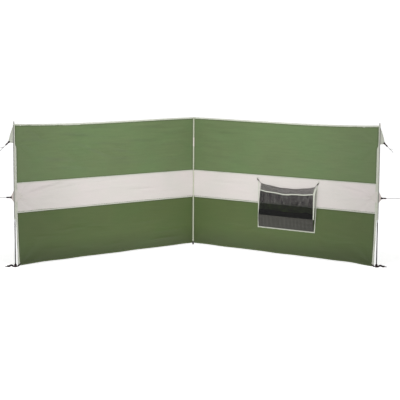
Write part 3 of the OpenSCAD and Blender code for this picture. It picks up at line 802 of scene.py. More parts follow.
def stitches(paths, pitch=0.007, length=0.0046, r=0.00042):
    """Rows of thread: each path is (points, outward direction), drawn as short raised stitches."""
    unit = [(x, 0.9 * math.cos(a), 0.9 * math.sin(a)) for x in (-0.30, 0.30) for a in around(5)]
    unit = np.array([(-0.5, 0, 0)] + unit + [(0.5, 0, 0)])
    faces = [[0, 1 + (k + 1) % 5, 1 + k] for k in range(5)]
    faces += [[1 + k, 1 + (k + 1) % 5, 6 + (k + 1) % 5, 6 + k] for k in range(5)]
    faces += [[11, 6 + k, 6 + (k + 1) % 5] for k in range(5)]
    verts, all_faces = [], []
    for points, outward in paths:
        points = np.asarray(points, float)
        s = arc_length(points)
        if s[-1] < pitch:
            continue
        at = np.arange(pitch / 2, s[-1], pitch)
        centre, ahead, behind = (np.stack([np.interp(at + d, s, points[:, k]) for k in range(3)], -1)
                                 for d in (0, 0.001, -0.001))
        along = ahead - behind
        along /= np.linalg.norm(along, axis=1, keepdims=True)
        out = np.broadcast_to(np.asarray(outward, float), along.shape)
        across = np.cross(out, along)
        across /= np.linalg.norm(across, axis=1, keepdims=True)
        out = np.cross(along, across)
        v = (centre[:, None] + unit[None, :, :1] * length * along[:, None]
             + unit[None, :, 1:2] * r * across[:, None] * 1.2 + unit[None, :, 2:] * r * out[:, None])
        base = sum(len(x) for x in verts)
        verts.append(v.reshape(-1, 3))
        for k in range(len(at)):
            all_faces += [[i + base + 12 * k for i in f] for f in faces]
    v = np.concatenate(verts)
    return v, all_faces, v[:, [0, 2]]


FRONT, BACK = (0, -1, 0), (0, 1, 0)
FACES = ((FRONT, -1), (BACK, 1))


def seam_line(side, z_of_u, face, stand=0.0):
    """Points along the wall at a height, on its front or back face."""
    u = np.arange(0.02, WALL_L - 0.012, 0.006)
    z = z_of_u(u) if callable(z_of_u) else np.full_like(u, z_of_u)
    keep = u < edge_u(z) - 0.004
    u, z = u[keep], z[keep]
    sign = -1 if face == FRONT else 1
    y = relief(side, u, z) + sign * (SHEET_T / 2 + stand)
    return np.stack([u, y, z], -1), face


def strip(side, low, high, thickness=0.0008, stand=0.0008):
    """A narrow band of extra cloth that lies on the wall's front face."""
    return slab(wall_grid(side, low, high, rows=4, start=0.016, stand=stand), thickness)


def upright_strip(side, u_of_z, width, z_low, z_high, stand=0.0008):
    """The same, running up the wall."""
    z = np.linspace(z_low, z_high, 180)[:, None]
    u = u_of_z(z) + np.linspace(0, width, 4)[None, :]
    z = np.broadcast_to(z, u.shape)
    return slab(np.stack([u, relief(side, u, z) - stand, z], -1), 0.0008)


def binding(side):
    """Tape folded over the top edge: an upside-down U along the wall."""
    u = np.linspace(0.014, WALL_L - SLEEVE_R + 0.0005, WALL_COLS)
    top = top_z(u)
    leg = BINDING_H
    half = [(0.00095, -leg), (0.00125, -leg * 0.66), (0.00125, -leg * 0.33), (0.00125, -0.0016),
            (0.0009, -0.0005)]
    inner = [(0.00045, -leg), (0.00045, -0.0022), (-0.00045, -0.0022), (-0.00045, -leg)]
    ring = np.array([(-y, z) for y, z in half] + [(0, 0)] + half[::-1] + inner)
    base = relief(side, u, top - leg * 0.5)
    fray = 0.0004 * np.sin(u * 61) + 0.0003 * np.sin(u * 23 + 2)
    grid = np.stack([np.broadcast_to(u[:, None], (WALL_COLS, len(ring))),
                     base[:, None] + ring[None, :, 0],
                     top[:, None] + ring[None, :, 1] + fray[:, None] * (ring[None, :, 1] < -0.01)], -1)
    return capped(grid, grid_uv(u, arc_length(ring)))


def upright_grid(radius, ang, z):
    return np.stack([radius * np.cos(ang), radius * np.sin(ang), z], -1)


def fan_faces(first, sides, apex, outward=True):
    """Triangles from a ring of points to one point."""
    k = np.arange(sides)
    j = (k + 1) % sides
    near, far = (k, j) if outward else (j, k)
    return np.stack([first + near, first + far, np.full(sides, apex)], -1).tolist()


def rim_faces(a, b, sides):
    """Quads between two rings of points."""
    k = np.arange(sides)
    j = (k + 1) % sides
    return np.stack([a + k, b + k, b + j, a + j], -1).tolist()


def sleeve_tube(low, high, outer_r, inner_r, seed, closed_top=False):
    """A stitched fabric sleeve on a pole: a closed tube with soft crosswise rucks."""
    sides = 28
    n = int((high - low) / 0.006) + 1
    ang = around(sides)
    zz, aa = np.meshgrid(np.linspace(low, high, n), ang, indexing="ij")
    ruck = (np.sin(zz * 190 + 2.0 * np.sin(zz * 31 + seed) + 1.3 * np.cos(aa + seed))
            * (0.5 + 0.5 * np.sin(zz * 17 + seed * 2)))
    ends = smooth((zz - low) / 0.012) * smooth((high - zz) / 0.012)
    r_out = outer_r - 0.00035 + 0.00035 * ruck + (1 - ends) * 0.0002
    outer = upright_grid(r_out, aa, zz).reshape(-1, 3)
    uv_out = np.stack([aa * outer_r, zz], -1).reshape(-1, 2)
    f = quads(n + 3 if closed_top else n, sides, wrap=True).tolist()
    if not closed_top:
        inner = upright_grid(inner_r, aa, zz).reshape(-1, 3)
        last = (n - 1) * sides
        f += quads(n, sides, n * sides, wrap=True, flip=True).tolist()
        f += rim_faces(0, n * sides, sides)
        f += [face[::-1] for face in rim_faces(last, n * sides + last, sides)]
        return np.concatenate([outer, inner]), f, np.concatenate([uv_out, uv_out])
    caps = [(outer_r * 0.94, 0.0), (outer_r * 0.75, 0.0008), (outer_r * 0.4, 0.0013)]
    top = [upright_grid(r, ang, np.full(sides, high - 0.0014 + dz)) for r, dz in caps]
    inner = upright_grid(inner_r, ang, np.full(sides, low))
    inner_top = inner + [0, 0, high - 0.003 - low]
    v = np.concatenate([outer, *top, [[0, 0, high]], inner, inner_top, [[0, 0, high - 0.003]]])
    apex = (n + 3) * sides
    base = apex + 1
    f += fan_faces(apex - sides, sides, apex)
    f += quads(2, sides, base, wrap=True, flip=True).tolist()
    f += fan_faces(base + sides, sides, base + 2 * sides, outward=False)
    f += rim_faces(0, base, sides)
    uv = np.concatenate([uv_out, np.zeros((len(v) - len(uv_out), 2))])
    uv[len(uv_out):, 1] = high
    return v, f, uv


# ---- the poles' own finishes ---------------------------------------------------

for pole in ("centre", *SIDES):
    for part, material in (("lower", mat_rod), ("middle", mat_rod), ("upper", mat_rod),
                           ("ferrules", mat_ferrule), ("tip", mat_tip), ("foot", mat_boot)):
        finish_cad(f"{pole}_pole_{part}", material)


# ---- centre pole -------------------------------------------------------------

CENTRE = ("right", "row", "centre_pole")

build("centre_piping", [sleeve_tube(CENTRE_LOW, FABRIC_TOP, SLEEVE_R, 0.0077, 0.7, closed_top=True)],
      *CENTRE, mat_piping, "cream_tape", ["centre_sleeve"])


def half_patch():
    """A reinforcing patch round the front half of the centre sleeve."""
    ang = np.linspace(math.pi + 0.12, 2 * math.pi - 0.12, 22)
    zz, aa = np.meshgrid(np.linspace(PATCH_LOW, PATCH_HIGH, 26), ang, indexing="ij")
    grid = upright_grid(SLEEVE_R + 0.00035 + 0.00012 * np.sin(zz * 260 + aa), aa, zz)
    return slab(grid, 0.0007, np.stack([aa * SLEEVE_R, zz], -1))


def upright_rows(angles, radius, low, high):
    return [(line((radius * math.cos(a), radius * math.sin(a), low),
                  (radius * math.cos(a), radius * math.sin(a), high), 0.01),
             (math.cos(a), math.sin(a), 0)) for a in angles]


build("centre_patch", [half_patch()], *CENTRE, mat_patch, "cream_tape", ["centre_guy_patch"])

patch_r = SLEEVE_R + 0.0008
front_rows = (math.pi + 0.42, 2 * math.pi - 0.42)
rows = []
for angles, radius, low, high in (
        ((math.pi + 0.2, 2 * math.pi - 0.2), patch_r, PATCH_LOW + 0.003, PATCH_HIGH - 0.003),
        ((math.pi * 1.5 - 0.25, math.pi * 1.5 + 0.25), patch_r, PATCH_LOW + 0.01, PATCH_HIGH - 0.01),
        (front_rows, SLEEVE_R, CENTRE_LOW + 0.01, PATCH_LOW - 0.004),
        (front_rows, SLEEVE_R, PATCH_HIGH + 0.004, FABRIC_TOP - 0.02),
        ((0.42 + math.pi / 2 - 0.2, math.pi / 2 - 0.22), SLEEVE_R, CENTRE_LOW + 0.01,
         FABRIC_TOP - 0.02)):
    rows += upright_rows(angles, radius, low, high)
build("centre_stitching", [stitches(rows, pitch=0.006, length=0.004)], *CENTRE, mat_thread_pale,
      "cream_tape")


# ---- wall panels -------------------------------------------------------------

def from_top(up):
    """A height along the wall, measured from the top tape's lower edge."""
    return lambda u: top_z(u) - BINDING_H + up


def from_hem(side, up=0.0):
    return lambda u: HEM_Z + hem_wave(side, u) + 0.002 + up


def upright_seams(side, low, high):
    """Double cloth up both ends of a panel."""
    return [upright_strip(side, lambda z: edge_u(z) - 0.016, 0.014, low, high, stand=0.0009),
            upright_strip(side, lambda z: 0.019 + 0 * z, 0.010, low, high)]


def stripe_seams(side, face, stand):
    """Stitch rows along both seams of the stripe."""
    return [seam_line(side, z, face, stand=stand) for z in (
        STRIPE_LOW - 0.009, STRIPE_LOW - 0.001, STRIPE_HIGH - 0.007, STRIPE_HIGH - 0.001)]


wall_pieces = {}
for side in SIDES:
    on_wall = (side, "wall", f"{side}_wall")
    upper = build(f"{side}_upper_cloth", [slab(wall_grid(
        side, STRIPE_HIGH - 0.004, lambda u: top_z(u) - BINDING_H * 0.45), SHEET_T)],
        *on_wall, mat_green, "green_fabric", [f"{side}_upper_panel"])
    stripe = build(f"{side}_stripe_cloth", [slab(wall_grid(side, STRIPE_LOW, STRIPE_HIGH), SHEET_T)],
                   *on_wall, mat_white, "stripe_fabric", [f"{side}_stripe_panel"])
    lower = build(f"{side}_lower_cloth", [slab(wall_grid(side, from_hem(side), STRIPE_LOW + 0.004),
                                               SHEET_T)],
                  *on_wall, mat_lower_green_shaded, "deep_green_fabric", [f"{side}_lower_panel"])
    tape = build(f"{side}_top_tape", [binding(side)], *on_wall, mat_cream, "cream_tape",
                 [f"{side}_top_binding"])

    # double layers of the green cloth along its seams, coloured darker than a single one: painted shade
    # for the light that passes less through two layers
    up_seams = build(f"{side}_upper_seams", [
        strip(side, STRIPE_HIGH + 0.001, STRIPE_HIGH + 0.011),
        strip(side, from_top(-0.007), from_top(0.004), stand=0.0009),
        *upright_seams(side, STRIPE_HIGH + 0.012, FABRIC_TOP - BINDING_H - 0.010),
    ], *on_wall, mat_upper_seam_shade, "green_fabric")
    low_seams = build(f"{side}_lower_seams", [
        strip(side, STRIPE_LOW - 0.022, STRIPE_LOW - 0.012, stand=0.0009),
        strip(side, from_hem(side), from_hem(side, 0.018), stand=0.0009, thickness=0.0012),
        *upright_seams(side, HEM_Z + 0.026, STRIPE_LOW - 0.024),
    ], *on_wall, mat_lower_seam_shade, "deep_green_fabric")
    felled = build(f"{side}_felled_seams", [
        strip(side, z - below, z + 0.001, thickness=0.0010, stand=0.0010)
        for z, below in ((STRIPE_LOW, 0.011), (STRIPE_HIGH, 0.009))],
        *on_wall, mat_felled, "stripe_fabric")

    pale = build(f"{side}_pale_stitching", [stitches(
        stripe_seams(side, FRONT, 0.0011)
        + [seam_line(side, from_top(0.003), face, stand=0.0008) for face in (FRONT, BACK)]
        + stripe_seams(side, BACK, 0.0))], *on_wall, mat_thread_pale, "cream_tape")
    green_thread = build(f"{side}_green_stitching", [stitches([
        seam_line(side, STRIPE_HIGH + 0.009, FRONT, stand=0.0008),
        seam_line(side, STRIPE_LOW - 0.020, FRONT, stand=0.0009),
        seam_line(side, from_hem(side, 0.016), FRONT, stand=0.0011),
        seam_line(side, from_hem(side, 0.016), BACK),
    ])], *on_wall, mat_thread_green, "deep_green_fabric")
    wall_pieces[side] = (upper, stripe, lower, tape, up_seams, low_seams, felled, pale, green_thread)


# ---- outer poles, sleeves, tapes, flaps and tabs -------------------------------

def side_tape(side):
    """Tape over the fabric's outer edge: it fills up to the sleeve, and hangs free below it."""
    z = np.linspace(HEM_Z, FLAP_LOW + 0.02, 190)[:, None]
    inner = edge_u(z) - 0.006
    near = WALL_L - SLEEVE_R + 0.0004
    free = edge_u(z) + SIDE_TAPE_W
    mix = smooth((z - SLEEVE_LOW + 0.02) / 0.04)
    outer = np.minimum(near, free * (1 - mix) + near * mix)
    w = np.linspace(0, 1, 8)[None, :]
    u = inner + (outer - inner) * w
    zz = np.broadcast_to(z, u.shape)
    flutter = (0.0032 * np.sin(2 * math.pi * zz / 0.23 + 0.6) * w ** 2
               * smooth((SLEEVE_LOW - 0.03 - zz) / 0.1) * smooth((zz - HEM_Z) / 0.06))
    tuck = 0.0012 * np.sin(2 * math.pi * zz / 0.036 + 2 * np.sin(zz * 21)) * np.sin(math.pi * w) * mix
    y = relief(side, u, zz) + flutter + tuck * np.clip((outer - inner) / 0.04, 0, 1)
    return slab(np.stack([u, y, zz], -1), 0.0016)


def side_tape_rows(side):
    z = np.linspace(HEM_Z + 0.006, FLAP_LOW, 220)
    rows = []
    for face, sign in FACES:
        for inset in (-0.003, 0.004):
            u = edge_u(z) + inset
            rows.append((np.stack([u, relief(side, u, z) + sign * 0.0009, z], -1), face))
    return rows


def triangle_cloth(bottom, top, tip, curve, ripple, phase, bulge=None):
    """A pulled triangle of cloth in the XZ plane, from its sewn edge to its tip.

    curve is how far its lower edge bows in, bulge how far its upper one bows out.
    """
    bulge = -curve if bulge is None else bulge
    s = np.linspace(0, 1, 26)[None, :]
    t = np.linspace(0, 1, 30)[:, None]
    low = bottom[1] + (tip[1] - 0.003 - bottom[1]) * s + curve * np.sin(math.pi * s)
    high = top[1] + (tip[1] + 0.003 - top[1]) * s + bulge * np.sin(math.pi * s)
    x = bottom[0] + (tip[0] - bottom[0]) * s + 0 * t
    z = low + (high - low) * t
    y = ripple * np.sin(t * 15 + phase + s) * (1 - s) * np.sin(math.pi * t) * (0.4 + 0.6 * s)
    return np.stack([x, y, z], -1)


def edge_rows(grid):
    """Stitch rows just inside the two long edges of a triangle, on both faces."""
    rows = []
    for face, sign in FACES:
        for k in (3, -4):
            pts = grid[k, 1:-2].copy()
            pts[:, 1] += sign * 0.0010
            rows.append((pts, face))
    return rows


def hemmed(grid):
    """A triangle's cloth, with the turned hems along its long edges proud of both faces."""
    return [slab(grid, 0.0014, grid[..., [0, 2]]), slab(grid[:4], 0.0020), slab(grid[26:], 0.0020)]


STRAP_LEAN = math.radians(70)
STRAP_RISE = 0.0095    # how far the leaning strap's middle stands above its lower edge


def strap_height(x):
    """The loose webbing's height above the ground, out from the pole."""
    wave = 0.010 * np.sin(math.pi * (x - 0.012) / 0.058) ** 2
    lift = 0.008 * ((x - 0.070) / 0.028) ** 2
    return np.where(x < 0.012, 0, np.where(x <= 0.070, wave, lift))


def webbing(path, width=0.020, thickness=0.0017, lean=0.0):
    """Woven strap along a path of (x, z) points: ribs run along it, and its edges are rounded.

    lean is how far it rolls over about its own length, one angle or one for each point.
    """
    path = np.asarray(path, float)
    step = np.gradient(path, axis=0)
    step /= np.linalg.norm(step, axis=1, keepdims=True)
    normal = np.stack([-step[:, 1], step[:, 0]], -1)
    lean = np.broadcast_to(lean, len(path))[:, None]
    w = np.linspace(-1, 1, 29)
    half = thickness / 2 * (0.86 + 0.14 * np.abs(np.cos(w * math.pi * 5))) * np.sqrt(
        np.clip(1 - np.abs(w) ** 14, 0.06, 1))
    ring_y = np.concatenate([w, w[::-1]]) * width / 2
    ring_n = np.concatenate([half, -half[::-1]])
    off = ring_n * np.cos(lean) + ring_y * np.sin(lean)
    across = ring_y * np.cos(lean) - ring_n * np.sin(lean)
    x = path[:, None, 0] + normal[:, None, 0] * off
    z = path[:, None, 1] + normal[:, None, 1] * off
    return capped(np.stack([x, across, z], -1), grid_uv(arc_length(path), ring_y), flip=False)


def pad_ring(inner_r, outer_r, low, high):
    """The strap's flat part round its eyelet."""
    ang = np.linspace(0, 2 * math.pi, 64, endpoint=False)
    profile = [(inner_r, low), (outer_r - 0.0003, low), (outer_r, (low + high) / 2),
               (outer_r - 0.0003, high), (inner_r, high)]
    v = np.array([[(r * math.cos(a), r * math.sin(a), z) for a in ang] for r, z in profile])
    uv = v[..., :2].reshape(-1, 2)
    faces = quads(5, 64, wrap=True).tolist()
    k = np.arange(64)
    j = (k + 1) % 64
    faces += np.stack([4 * 64 + k, 4 * 64 + j, j, k], -1).tolist()
    return v.reshape(-1, 3), faces, uv


def stripe_patch(side):
    """The tab's patch, which widens towards the pole, on both faces of the stripe."""
    s = np.linspace(0, 1, 24)[None, :]
    t = np.linspace(0, 1, 20)[:, None]
    u = WALL_L - SLEEVE_R - 0.088 * (1 - s) + 0 * t
    z = 0.727 + (t - 0.5) * (0.012 + 0.118 * s) * np.where(t > 0.5, 1.06, 0.94)
    return [slab(np.stack([u, relief(side, u, z) + sign * 0.0014, z], -1), 0.0010)
            for sign in (-1, 1)]


def point_rings():
    """A sewn ring at each point, which the cord is tied through."""
    a = np.linspace(0, 2 * math.pi, 40, endpoint=False)
    return [tube(point + np.stack([-0.0036 + 0.0034 * np.cos(a), dz + 0 * a, 0.0030 * np.sin(a)], -1),
                 0.0007, 8, closed=True)
            for point in (FLAP_POINT, TAB_POINT) for dz in (-0.0012, 0.0012)]


def pull_tabs():
    """Dark webbing sewn over each point, one layer on either side of the cord's start."""
    tabs = []
    for point, way in ((FLAP_POINT, TOP_WAY), (TAB_POINT, MID_WAY)):
        aside = np.array([-way[2], 0, way[0]])
        for y0 in (-0.0030, 0.0030):
            t = np.linspace(-0.016, 0.0075, 20)
            v, f, uv = webbing(np.stack([t, 0 * t], -1), 0.018, 0.0012)
            swing = y0 * (0.62 + 0.38 * smooth((v[:, 0] + 0.016) / 0.012))
            tabs.append((point + v[:, :1] * way + v[:, 1:2] * aside
                         + np.stack([0 * swing, swing + v[:, 2], 0 * swing], -1), f, uv))
    return tabs


def bar_tacks():
    """Close rows of stitches that fasten the pull tabs."""
    return [(line((x0 + 0.0012 * k, sign * 0.0011, z0 - 0.004),
                  (x0 + 0.0012 * k, sign * 0.0011, z0 + 0.004), 0.001), face)
            for x0, z0 in ((0.0455, 1.2865), (0.037, 0.722)) for k in range(4)
            for face, sign in FACES]


def strap_lean(x):
    return STRAP_LEAN * smooth((x - 0.012) / 0.020) * smooth((0.094 - x) / 0.016)


def outer_strap():
    """The strap out from under the boot, round its peg loop and back."""
    x = np.linspace(0.0085, 0.098, 70)
    lean = strap_lean(x)
    run = np.stack([x, strap_height(x) + 0.001 + np.sin(lean) * STRAP_RISE], -1)
    a = np.radians(np.linspace(168, -172, 52))
    eye = np.stack([0.103 + 0.006 * np.cos(a), 0.008 + 0.006 * np.sin(a)], -1)
    x = np.linspace(0.0955, 0.086, 10)
    back_lean = strap_lean(x)
    back = np.stack([x, np.maximum(strap_height(x) - 0.0009, 0.0009) + np.sin(back_lean) * STRAP_RISE],
                    -1)
    return webbing(np.concatenate([run, eye[1:], back]),
                   lean=np.concatenate([lean, np.zeros(51), back_lean]))


def inner_strap():
    """The strap from the boot to the fabric's bottom corner."""
    t = np.linspace(0, 1, 60)
    lean = STRAP_LEAN * smooth((t - 0.08) / 0.25)
    x = WALL_L - 0.0085 + (float(edge_u(HEM_Z)) - 0.014 - WALL_L + 0.0085) * t
    z = 0.0011 + 0.0205 * smooth((t - 0.08) / 0.84)
    return webbing(np.stack([x, np.maximum(z, 0.0011 + np.sin(lean) * STRAP_RISE)], -1)[::-1],
                   lean=-lean[::-1])


def strap_tacks():
    rows = []
    for x in (0.0945, 0.0965):
        z = float(strap_height(np.array(x))) + 0.0020
        rows.append((line((x, -0.0075, z), (x, 0.0075, z), 0.001), (0, 0, 1)))
    return rows


for side, seed in (("left", 1.3), ("right", 2.6)):
    on_pole, on_wall = (side, "pole", f"{side}_wall"), (side, "wall", f"{side}_wall")
    finish_cad(f"{side}_foot_eyelet", mat_eyelet)
    sleeve = build(f"{side}_sleeve", [sleeve_tube(SLEEVE_LOW, FABRIC_TOP, SLEEVE_R, 0.0078, seed)],
                   *on_pole, mat_sleeve, "cream_tape", [f"{side}_pole_sleeve"])
    hems = build(f"{side}_sleeve_hems", [
        sleeve_tube(low, high, SLEEVE_R + 0.0005, SLEEVE_R - 0.0009, seed)
        for low, high in ((SLEEVE_LOW - 0.0005, SLEEVE_LOW + 0.016),
                          (FABRIC_TOP - 0.016, FABRIC_TOP + 0.0005))],
        *on_pole, mat_cream, "cream_tape")
    edging = build(f"{side}_edge_tape", [side_tape(side)], *on_wall, mat_cream,
                   "cream_tape", [f"{side}_side_tape"])

    # the corner flap that the top guy cord pulls on, and the tab for the mid one with its patch
    flap = triangle_cloth((0.0080, 1.278), (0.0080, 1.450), (0.0590, 1.284), 0.0010, 0.0016, 0.4, 0.016)
    flap_piece = build(f"{side}_corner_cloth", hemmed(flap), *on_pole, mat_cream, "cream_tape",
                       [f"{side}_corner_flap"])
    tab = triangle_cloth((0.0080, 0.672), (0.0080, 0.792), (0.0445, 0.722), 0.0030, 0.0012, 1.9)
    tab_piece = build(f"{side}_mid_cloth", hemmed(tab), *on_pole, mat_patch, "cream_tape",
                      [f"{side}_mid_tab"])
    patch = build(f"{side}_mid_patch", stripe_patch(side), *on_wall, mat_wall_patch, "cream_tape")
    ring = build(f"{side}_point_rings", point_rings(), *on_pole, mat_thread_pale, "cream_tape")
    pull = build(f"{side}_pull_tabs", pull_tabs(), *on_pole, mat_webbing, "webbing")
    flap_thread = build(f"{side}_flap_stitching",
                        [stitches(edge_rows(flap) + edge_rows(tab), pitch=0.004, length=0.0029),
                         stitches(bar_tacks(), pitch=0.0016, length=0.0015, r=0.0003)],
                        *on_pole, mat_thread_pale, "cream_tape")
    tape_thread = build(f"{side}_tape_stitching", [stitches(side_tape_rows(side))],
                        *on_wall, mat_thread_pale, "cream_tape")

    # the strap under the pole's boot, out to its peg loop and in to the bottom corner
    pads = [pad_ring(0.0055, 0.0118, 0.0001, 0.0019),
            pad_ring(BOOT_R + 0.0006, BOOT_R + 0.0062, 0.0042, 0.0236),
            pad_ring(BOOT_R + 0.0006, BOOT_R + 0.0048, 0.0232, 0.0310)]
    strap = build(f"{side}_strap", [outer_strap()] + pads, *on_pole, mat_webbing, "webbing",
                  [f"{side}_foot_strap"])
    strap_in = build(f"{side}_strap_inner", [inner_strap()], *on_wall, mat_webbing, "webbing")
    tack = build(f"{side}_strap_tacks",
                 [stitches(strap_tacks(), pitch=0.0019, length=0.0018, r=0.0004)],
                 *on_pole, mat_boot, "webbing")

    upper, stripe, lower, tape, up_seams, low_seams, felled, pale, green_thread = wall_pieces[side]


# ---- pocket on the right wall --------------------------------------------------

POCKET = ("right", "wall", "pocket")
POCKET_WALL = ("right", "wall", "right_wall")
TAPE_W = 0.012
FRAME_LOW_Z = POCKET_Z[0] - TAPE_W
FLARE = 0.030
BAG_U = (0.930, 1.640)
BAG_LEAN = 0.016       # its upper left corner leans this far in
BAG_LOW, BACK_TOP, RIM_TOP = 0.436, 0.782, 0.714
SEAM_Y, SEAM_Z = -0.0046, 0.3015               # the gusset's sewn line on the wall
GUSSET_Y = -0.0302                             # and how far out its other edge stands


def frame_path(inset):
    """The pocket's outline on the wall, moved in by inset from its outer edge."""
    corners = [(POCKET_U[0] + inset, POCKET_Z[1]), (POCKET_U[0] + inset, FRAME_LOW_Z + inset),
               (POCKET_U[1] - inset, FRAME_LOW_Z + inset), (POCKET_U[1] + FLARE - inset, POCKET_Z[1])]
    pts = []
    for (a, b), n in zip(zip(corners, corners[1:]), (54, 74, 54)):
        t = np.linspace(0, 1, n, endpoint=False)[:, None]
        pts.append(np.array(a) + (np.array(b) - np.array(a)) * t)
    return np.concatenate(pts + [np.array(corners[-1:])])


def frame_tape():
    across = np.linspace(0, 1, 5)
    grid = np.stack([frame_path(TAPE_W * a) for a in across])
    wob = 0.0006 * np.sin(np.arange(grid.shape[1]) * 0.9) * (1 - across[:, None])
    u, z = grid[..., 0] + wob, grid[..., 1] + wob
    y = relief("right", u, z) - 0.0013 - 0.0003 * np.sin(math.pi * across[:, None])
    uv = grid_uv(across * TAPE_W, arc_length(frame_path(0)))[..., ::-1]
    return turned(slab(np.stack([u, y, z], -1), 0.0013, uv))


def frame_rows():
    rows = []
    for inset in (0.002, TAPE_W - 0.002):
        path = frame_path(inset)
        y = relief("right", path[:, 0], path[:, 1]) - 0.0022
        rows.append((np.stack([path[:, 0], y, path[:, 1]], -1), FRONT))
        rows.append((np.stack([path[:, 0], y + 0.0022 + SHEET_T / 2, path[:, 1]], -1), BACK))
    return rows


def rim_z(s):
    """Height of the front rim across the pocket: slack, with two soft scallops."""
    return (RIM_TOP - 0.088 * s * (1 - s) - 0.0045 * np.sin(5.2 * math.pi * s)
            * np.sin(math.pi * s))


def back_z(s):
    sag = 4 * 0.038 * s * (1 - s) * (1 + 0.25 * (s - 0.5))
    return BACK_TOP - sag - 0.002 * np.sin(7 * math.pi * s)


def bag_u(s, t):
    return BAG_U[0] + BAG_LEAN * t * (1 - s) ** 2 + (BAG_U[1] - BAG_U[0]) * s


def front_y(s, t):
    """How far the front net stands out, from its bottom seam (t = 0) to its rim (t = 1)."""
    top = -0.024 - 0.016 * s - 0.016 * np.sin(math.pi * s)
    low = -0.0306
    y = low + (top - low) * smooth(t * 0.5) * 2 - 0.006 * np.sin(math.pi * s) * np.sin(math.pi * t)
    pleat = 0.0036 * np.sin(2 * math.pi * s / 0.062 + 0.8 * t) * np.exp(-((s - 0.10) / 0.10) ** 2) * t
    pleat += 0.0020 * np.sin(2 * math.pi * s / 0.083 + 1.7 * np.sin(6 * s)) * (0.3 + 0.7 * t)
    return y + pleat * smooth(s / 0.03) * smooth((1 - s) / 0.03)


def back_y(s, t):
    y = -0.0186 + 0.010 * t
    return y + 0.0012 * np.sin(2 * math.pi * s / 0.11 + 2 * t) * t * np.sin(math.pi * s)


def front_point(s, t):
    return np.stack([bag_u(s, t), front_y(s, t), BAG_LOW + (rim_z(s) - 0.004 - BAG_LOW) * t], -1)


def back_point(s, t):
    return np.stack([bag_u(s, t), back_y(s, t), BAG_LOW + (back_z(s) - BAG_LOW) * t], -1)


def net(point, width, height, cell=0.0044, row=0.0032, yarn_w=0.0023, yarn_t=0.0008):
    """Open netting: zigzag yarns that meet their neighbours at every other turn."""
    cols, rows = int(width / cell) + 1, int(height / row) + 1
    i = np.arange(cols)[:, None]
    j = np.arange(rows)[None, :]
    lean = np.where((i + j) % 2 == 0, 0.46, -0.46)
    lean[0], lean[-1] = np.abs(lean[0]), -np.abs(lean[-1])
    s = np.clip((i + lean) / (cols - 1), 0, 1)
    t = np.broadcast_to(j / (rows - 1), s.shape)
    p = point(s, t)
    wide = np.zeros_like(p)
    wide[..., 0] = yarn_w / 2
    deep = np.zeros_like(p)
    deep[..., 1] = yarn_t / 2
    v = np.stack([p - wide, p - deep, p + wide, p + deep], 2).reshape(-1, 3)
    one = quads(rows, 4, wrap=True)
    faces = np.concatenate([one + c * rows * 4 for c in range(cols)]).tolist()
    for c in range(cols):
        a = c * rows * 4
        b = a + (rows - 1) * 4
        faces += [[a + 3, a + 2, a + 1, a], [b, b + 1, b + 2, b + 3]]
    # the yarns' own flat area: half their skin, laid out with no sag
    skin = 4 * math.hypot(yarn_t / 2 * math.hypot(row, 0.92 * cell), yarn_w / 2 * row)
    area = cols * (rows - 1) * skin / 2
    return (v, faces, v[:, [0, 2]]), area


def band(point_low, point_high, cols, rows, thickness):
    """A sheet between two curves across the pocket."""
    s = np.linspace(0, 1, cols)
    a, b = point_low(s), point_high(s)
    return slab(a + (b - a) * np.linspace(0, 1, rows)[:, None, None], thickness)


def folded_over(points, leg, half):
    """Tape folded over an edge, whose fold is the given line of points."""
    side = [(half, -0.0012), (half * 1.15, -leg * 0.5), (half, -leg)]
    ring = np.array([(-y, z) for y, z in side[::-1]] + [(0, 0)] + side + [
        (half * 0.4, -leg), (half * 0.4, -0.002), (-half * 0.4, -0.002), (-half * 0.4, -leg)])
    grid = points[:, None] + np.stack([0 * ring[:, 0], ring[:, 0], ring[:, 1]], -1)[None]
    return capped(grid, grid_uv(arc_length(points), arc_length(ring)))


build("pocket_tape", [frame_tape()], *POCKET_WALL, mat_cream, "cream_tape", ["pocket_frame_tape"])
build("pocket_tape_stitching", [stitches(frame_rows(), pitch=0.006, length=0.004)], *POCKET_WALL,
      mat_thread_pale, "cream_tape")


def gusset_grid():
    s = np.linspace(0, 1, 200)[None, :]
    t = np.linspace(0, 1, 34)[:, None]
    inset = TAPE_W + 0.001
    low_u, low_w = POCKET_U[0] + inset, POCKET_U[1] - POCKET_U[0] - 2 * inset
    u = (low_u + low_w * s) * (1 - t) + (BAG_U[0] + (BAG_U[1] - BAG_U[0]) * s) * t
    z = SEAM_Z + (BAG_LOW - SEAM_Z) * t + 0 * s
    y = SEAM_Y + (GUSSET_Y - SEAM_Y) * (0.35 * t + 0.65 * np.sin(t * math.pi / 2)) + 0 * s
    gather = 0.0022 * np.sin(2 * math.pi * s / 0.072 + 1.4 * np.sin(9 * s)) * t * (1 - t) * 4
    slack = 0.0018 * np.sin(2 * math.pi * (t * 2.6 + 0.7 * s)) * smooth((s - 0.45) / 0.4)
    hold = smooth(s / 0.03) * smooth((1 - s) / 0.03)
    return np.stack([u, y + (gather + slack * np.sin(math.pi * t)) * hold, z], -1)


def across_bag(y, z):
    """A straight line across the bag's bottom."""
    return lambda s: np.stack([bag_u(s, 0), y + 0 * s, z + 0 * s], -1)


def seam_band():
    """The bag's bottom, from its front net back to its back net."""
    z = BAG_LOW - 0.0006
    return band(across_bag(-0.0316, z), across_bag(-0.0178, z), 120, 3, 0.0012)


def turned_up_edge():
    """Cloth turned up inside the bag along its bottom seam, with an uneven edge; its near-black colour
    is painted shade inside the bag.
    """
    def edge(s):
        rise = 0.056 + 0.007 * np.sin(8.2 * s + 0.4) + 0.004 * np.sin(31 * s) * smooth((s - 0.5) / 0.3)
        return np.stack([bag_u(s, 0.15), -0.0232 + 0.0015 * np.sin(23 * s), BAG_LOW + rise], -1)
    return band(across_bag(-0.0255, BAG_LOW + 0.0012), edge, 160, 7, 0.0008)


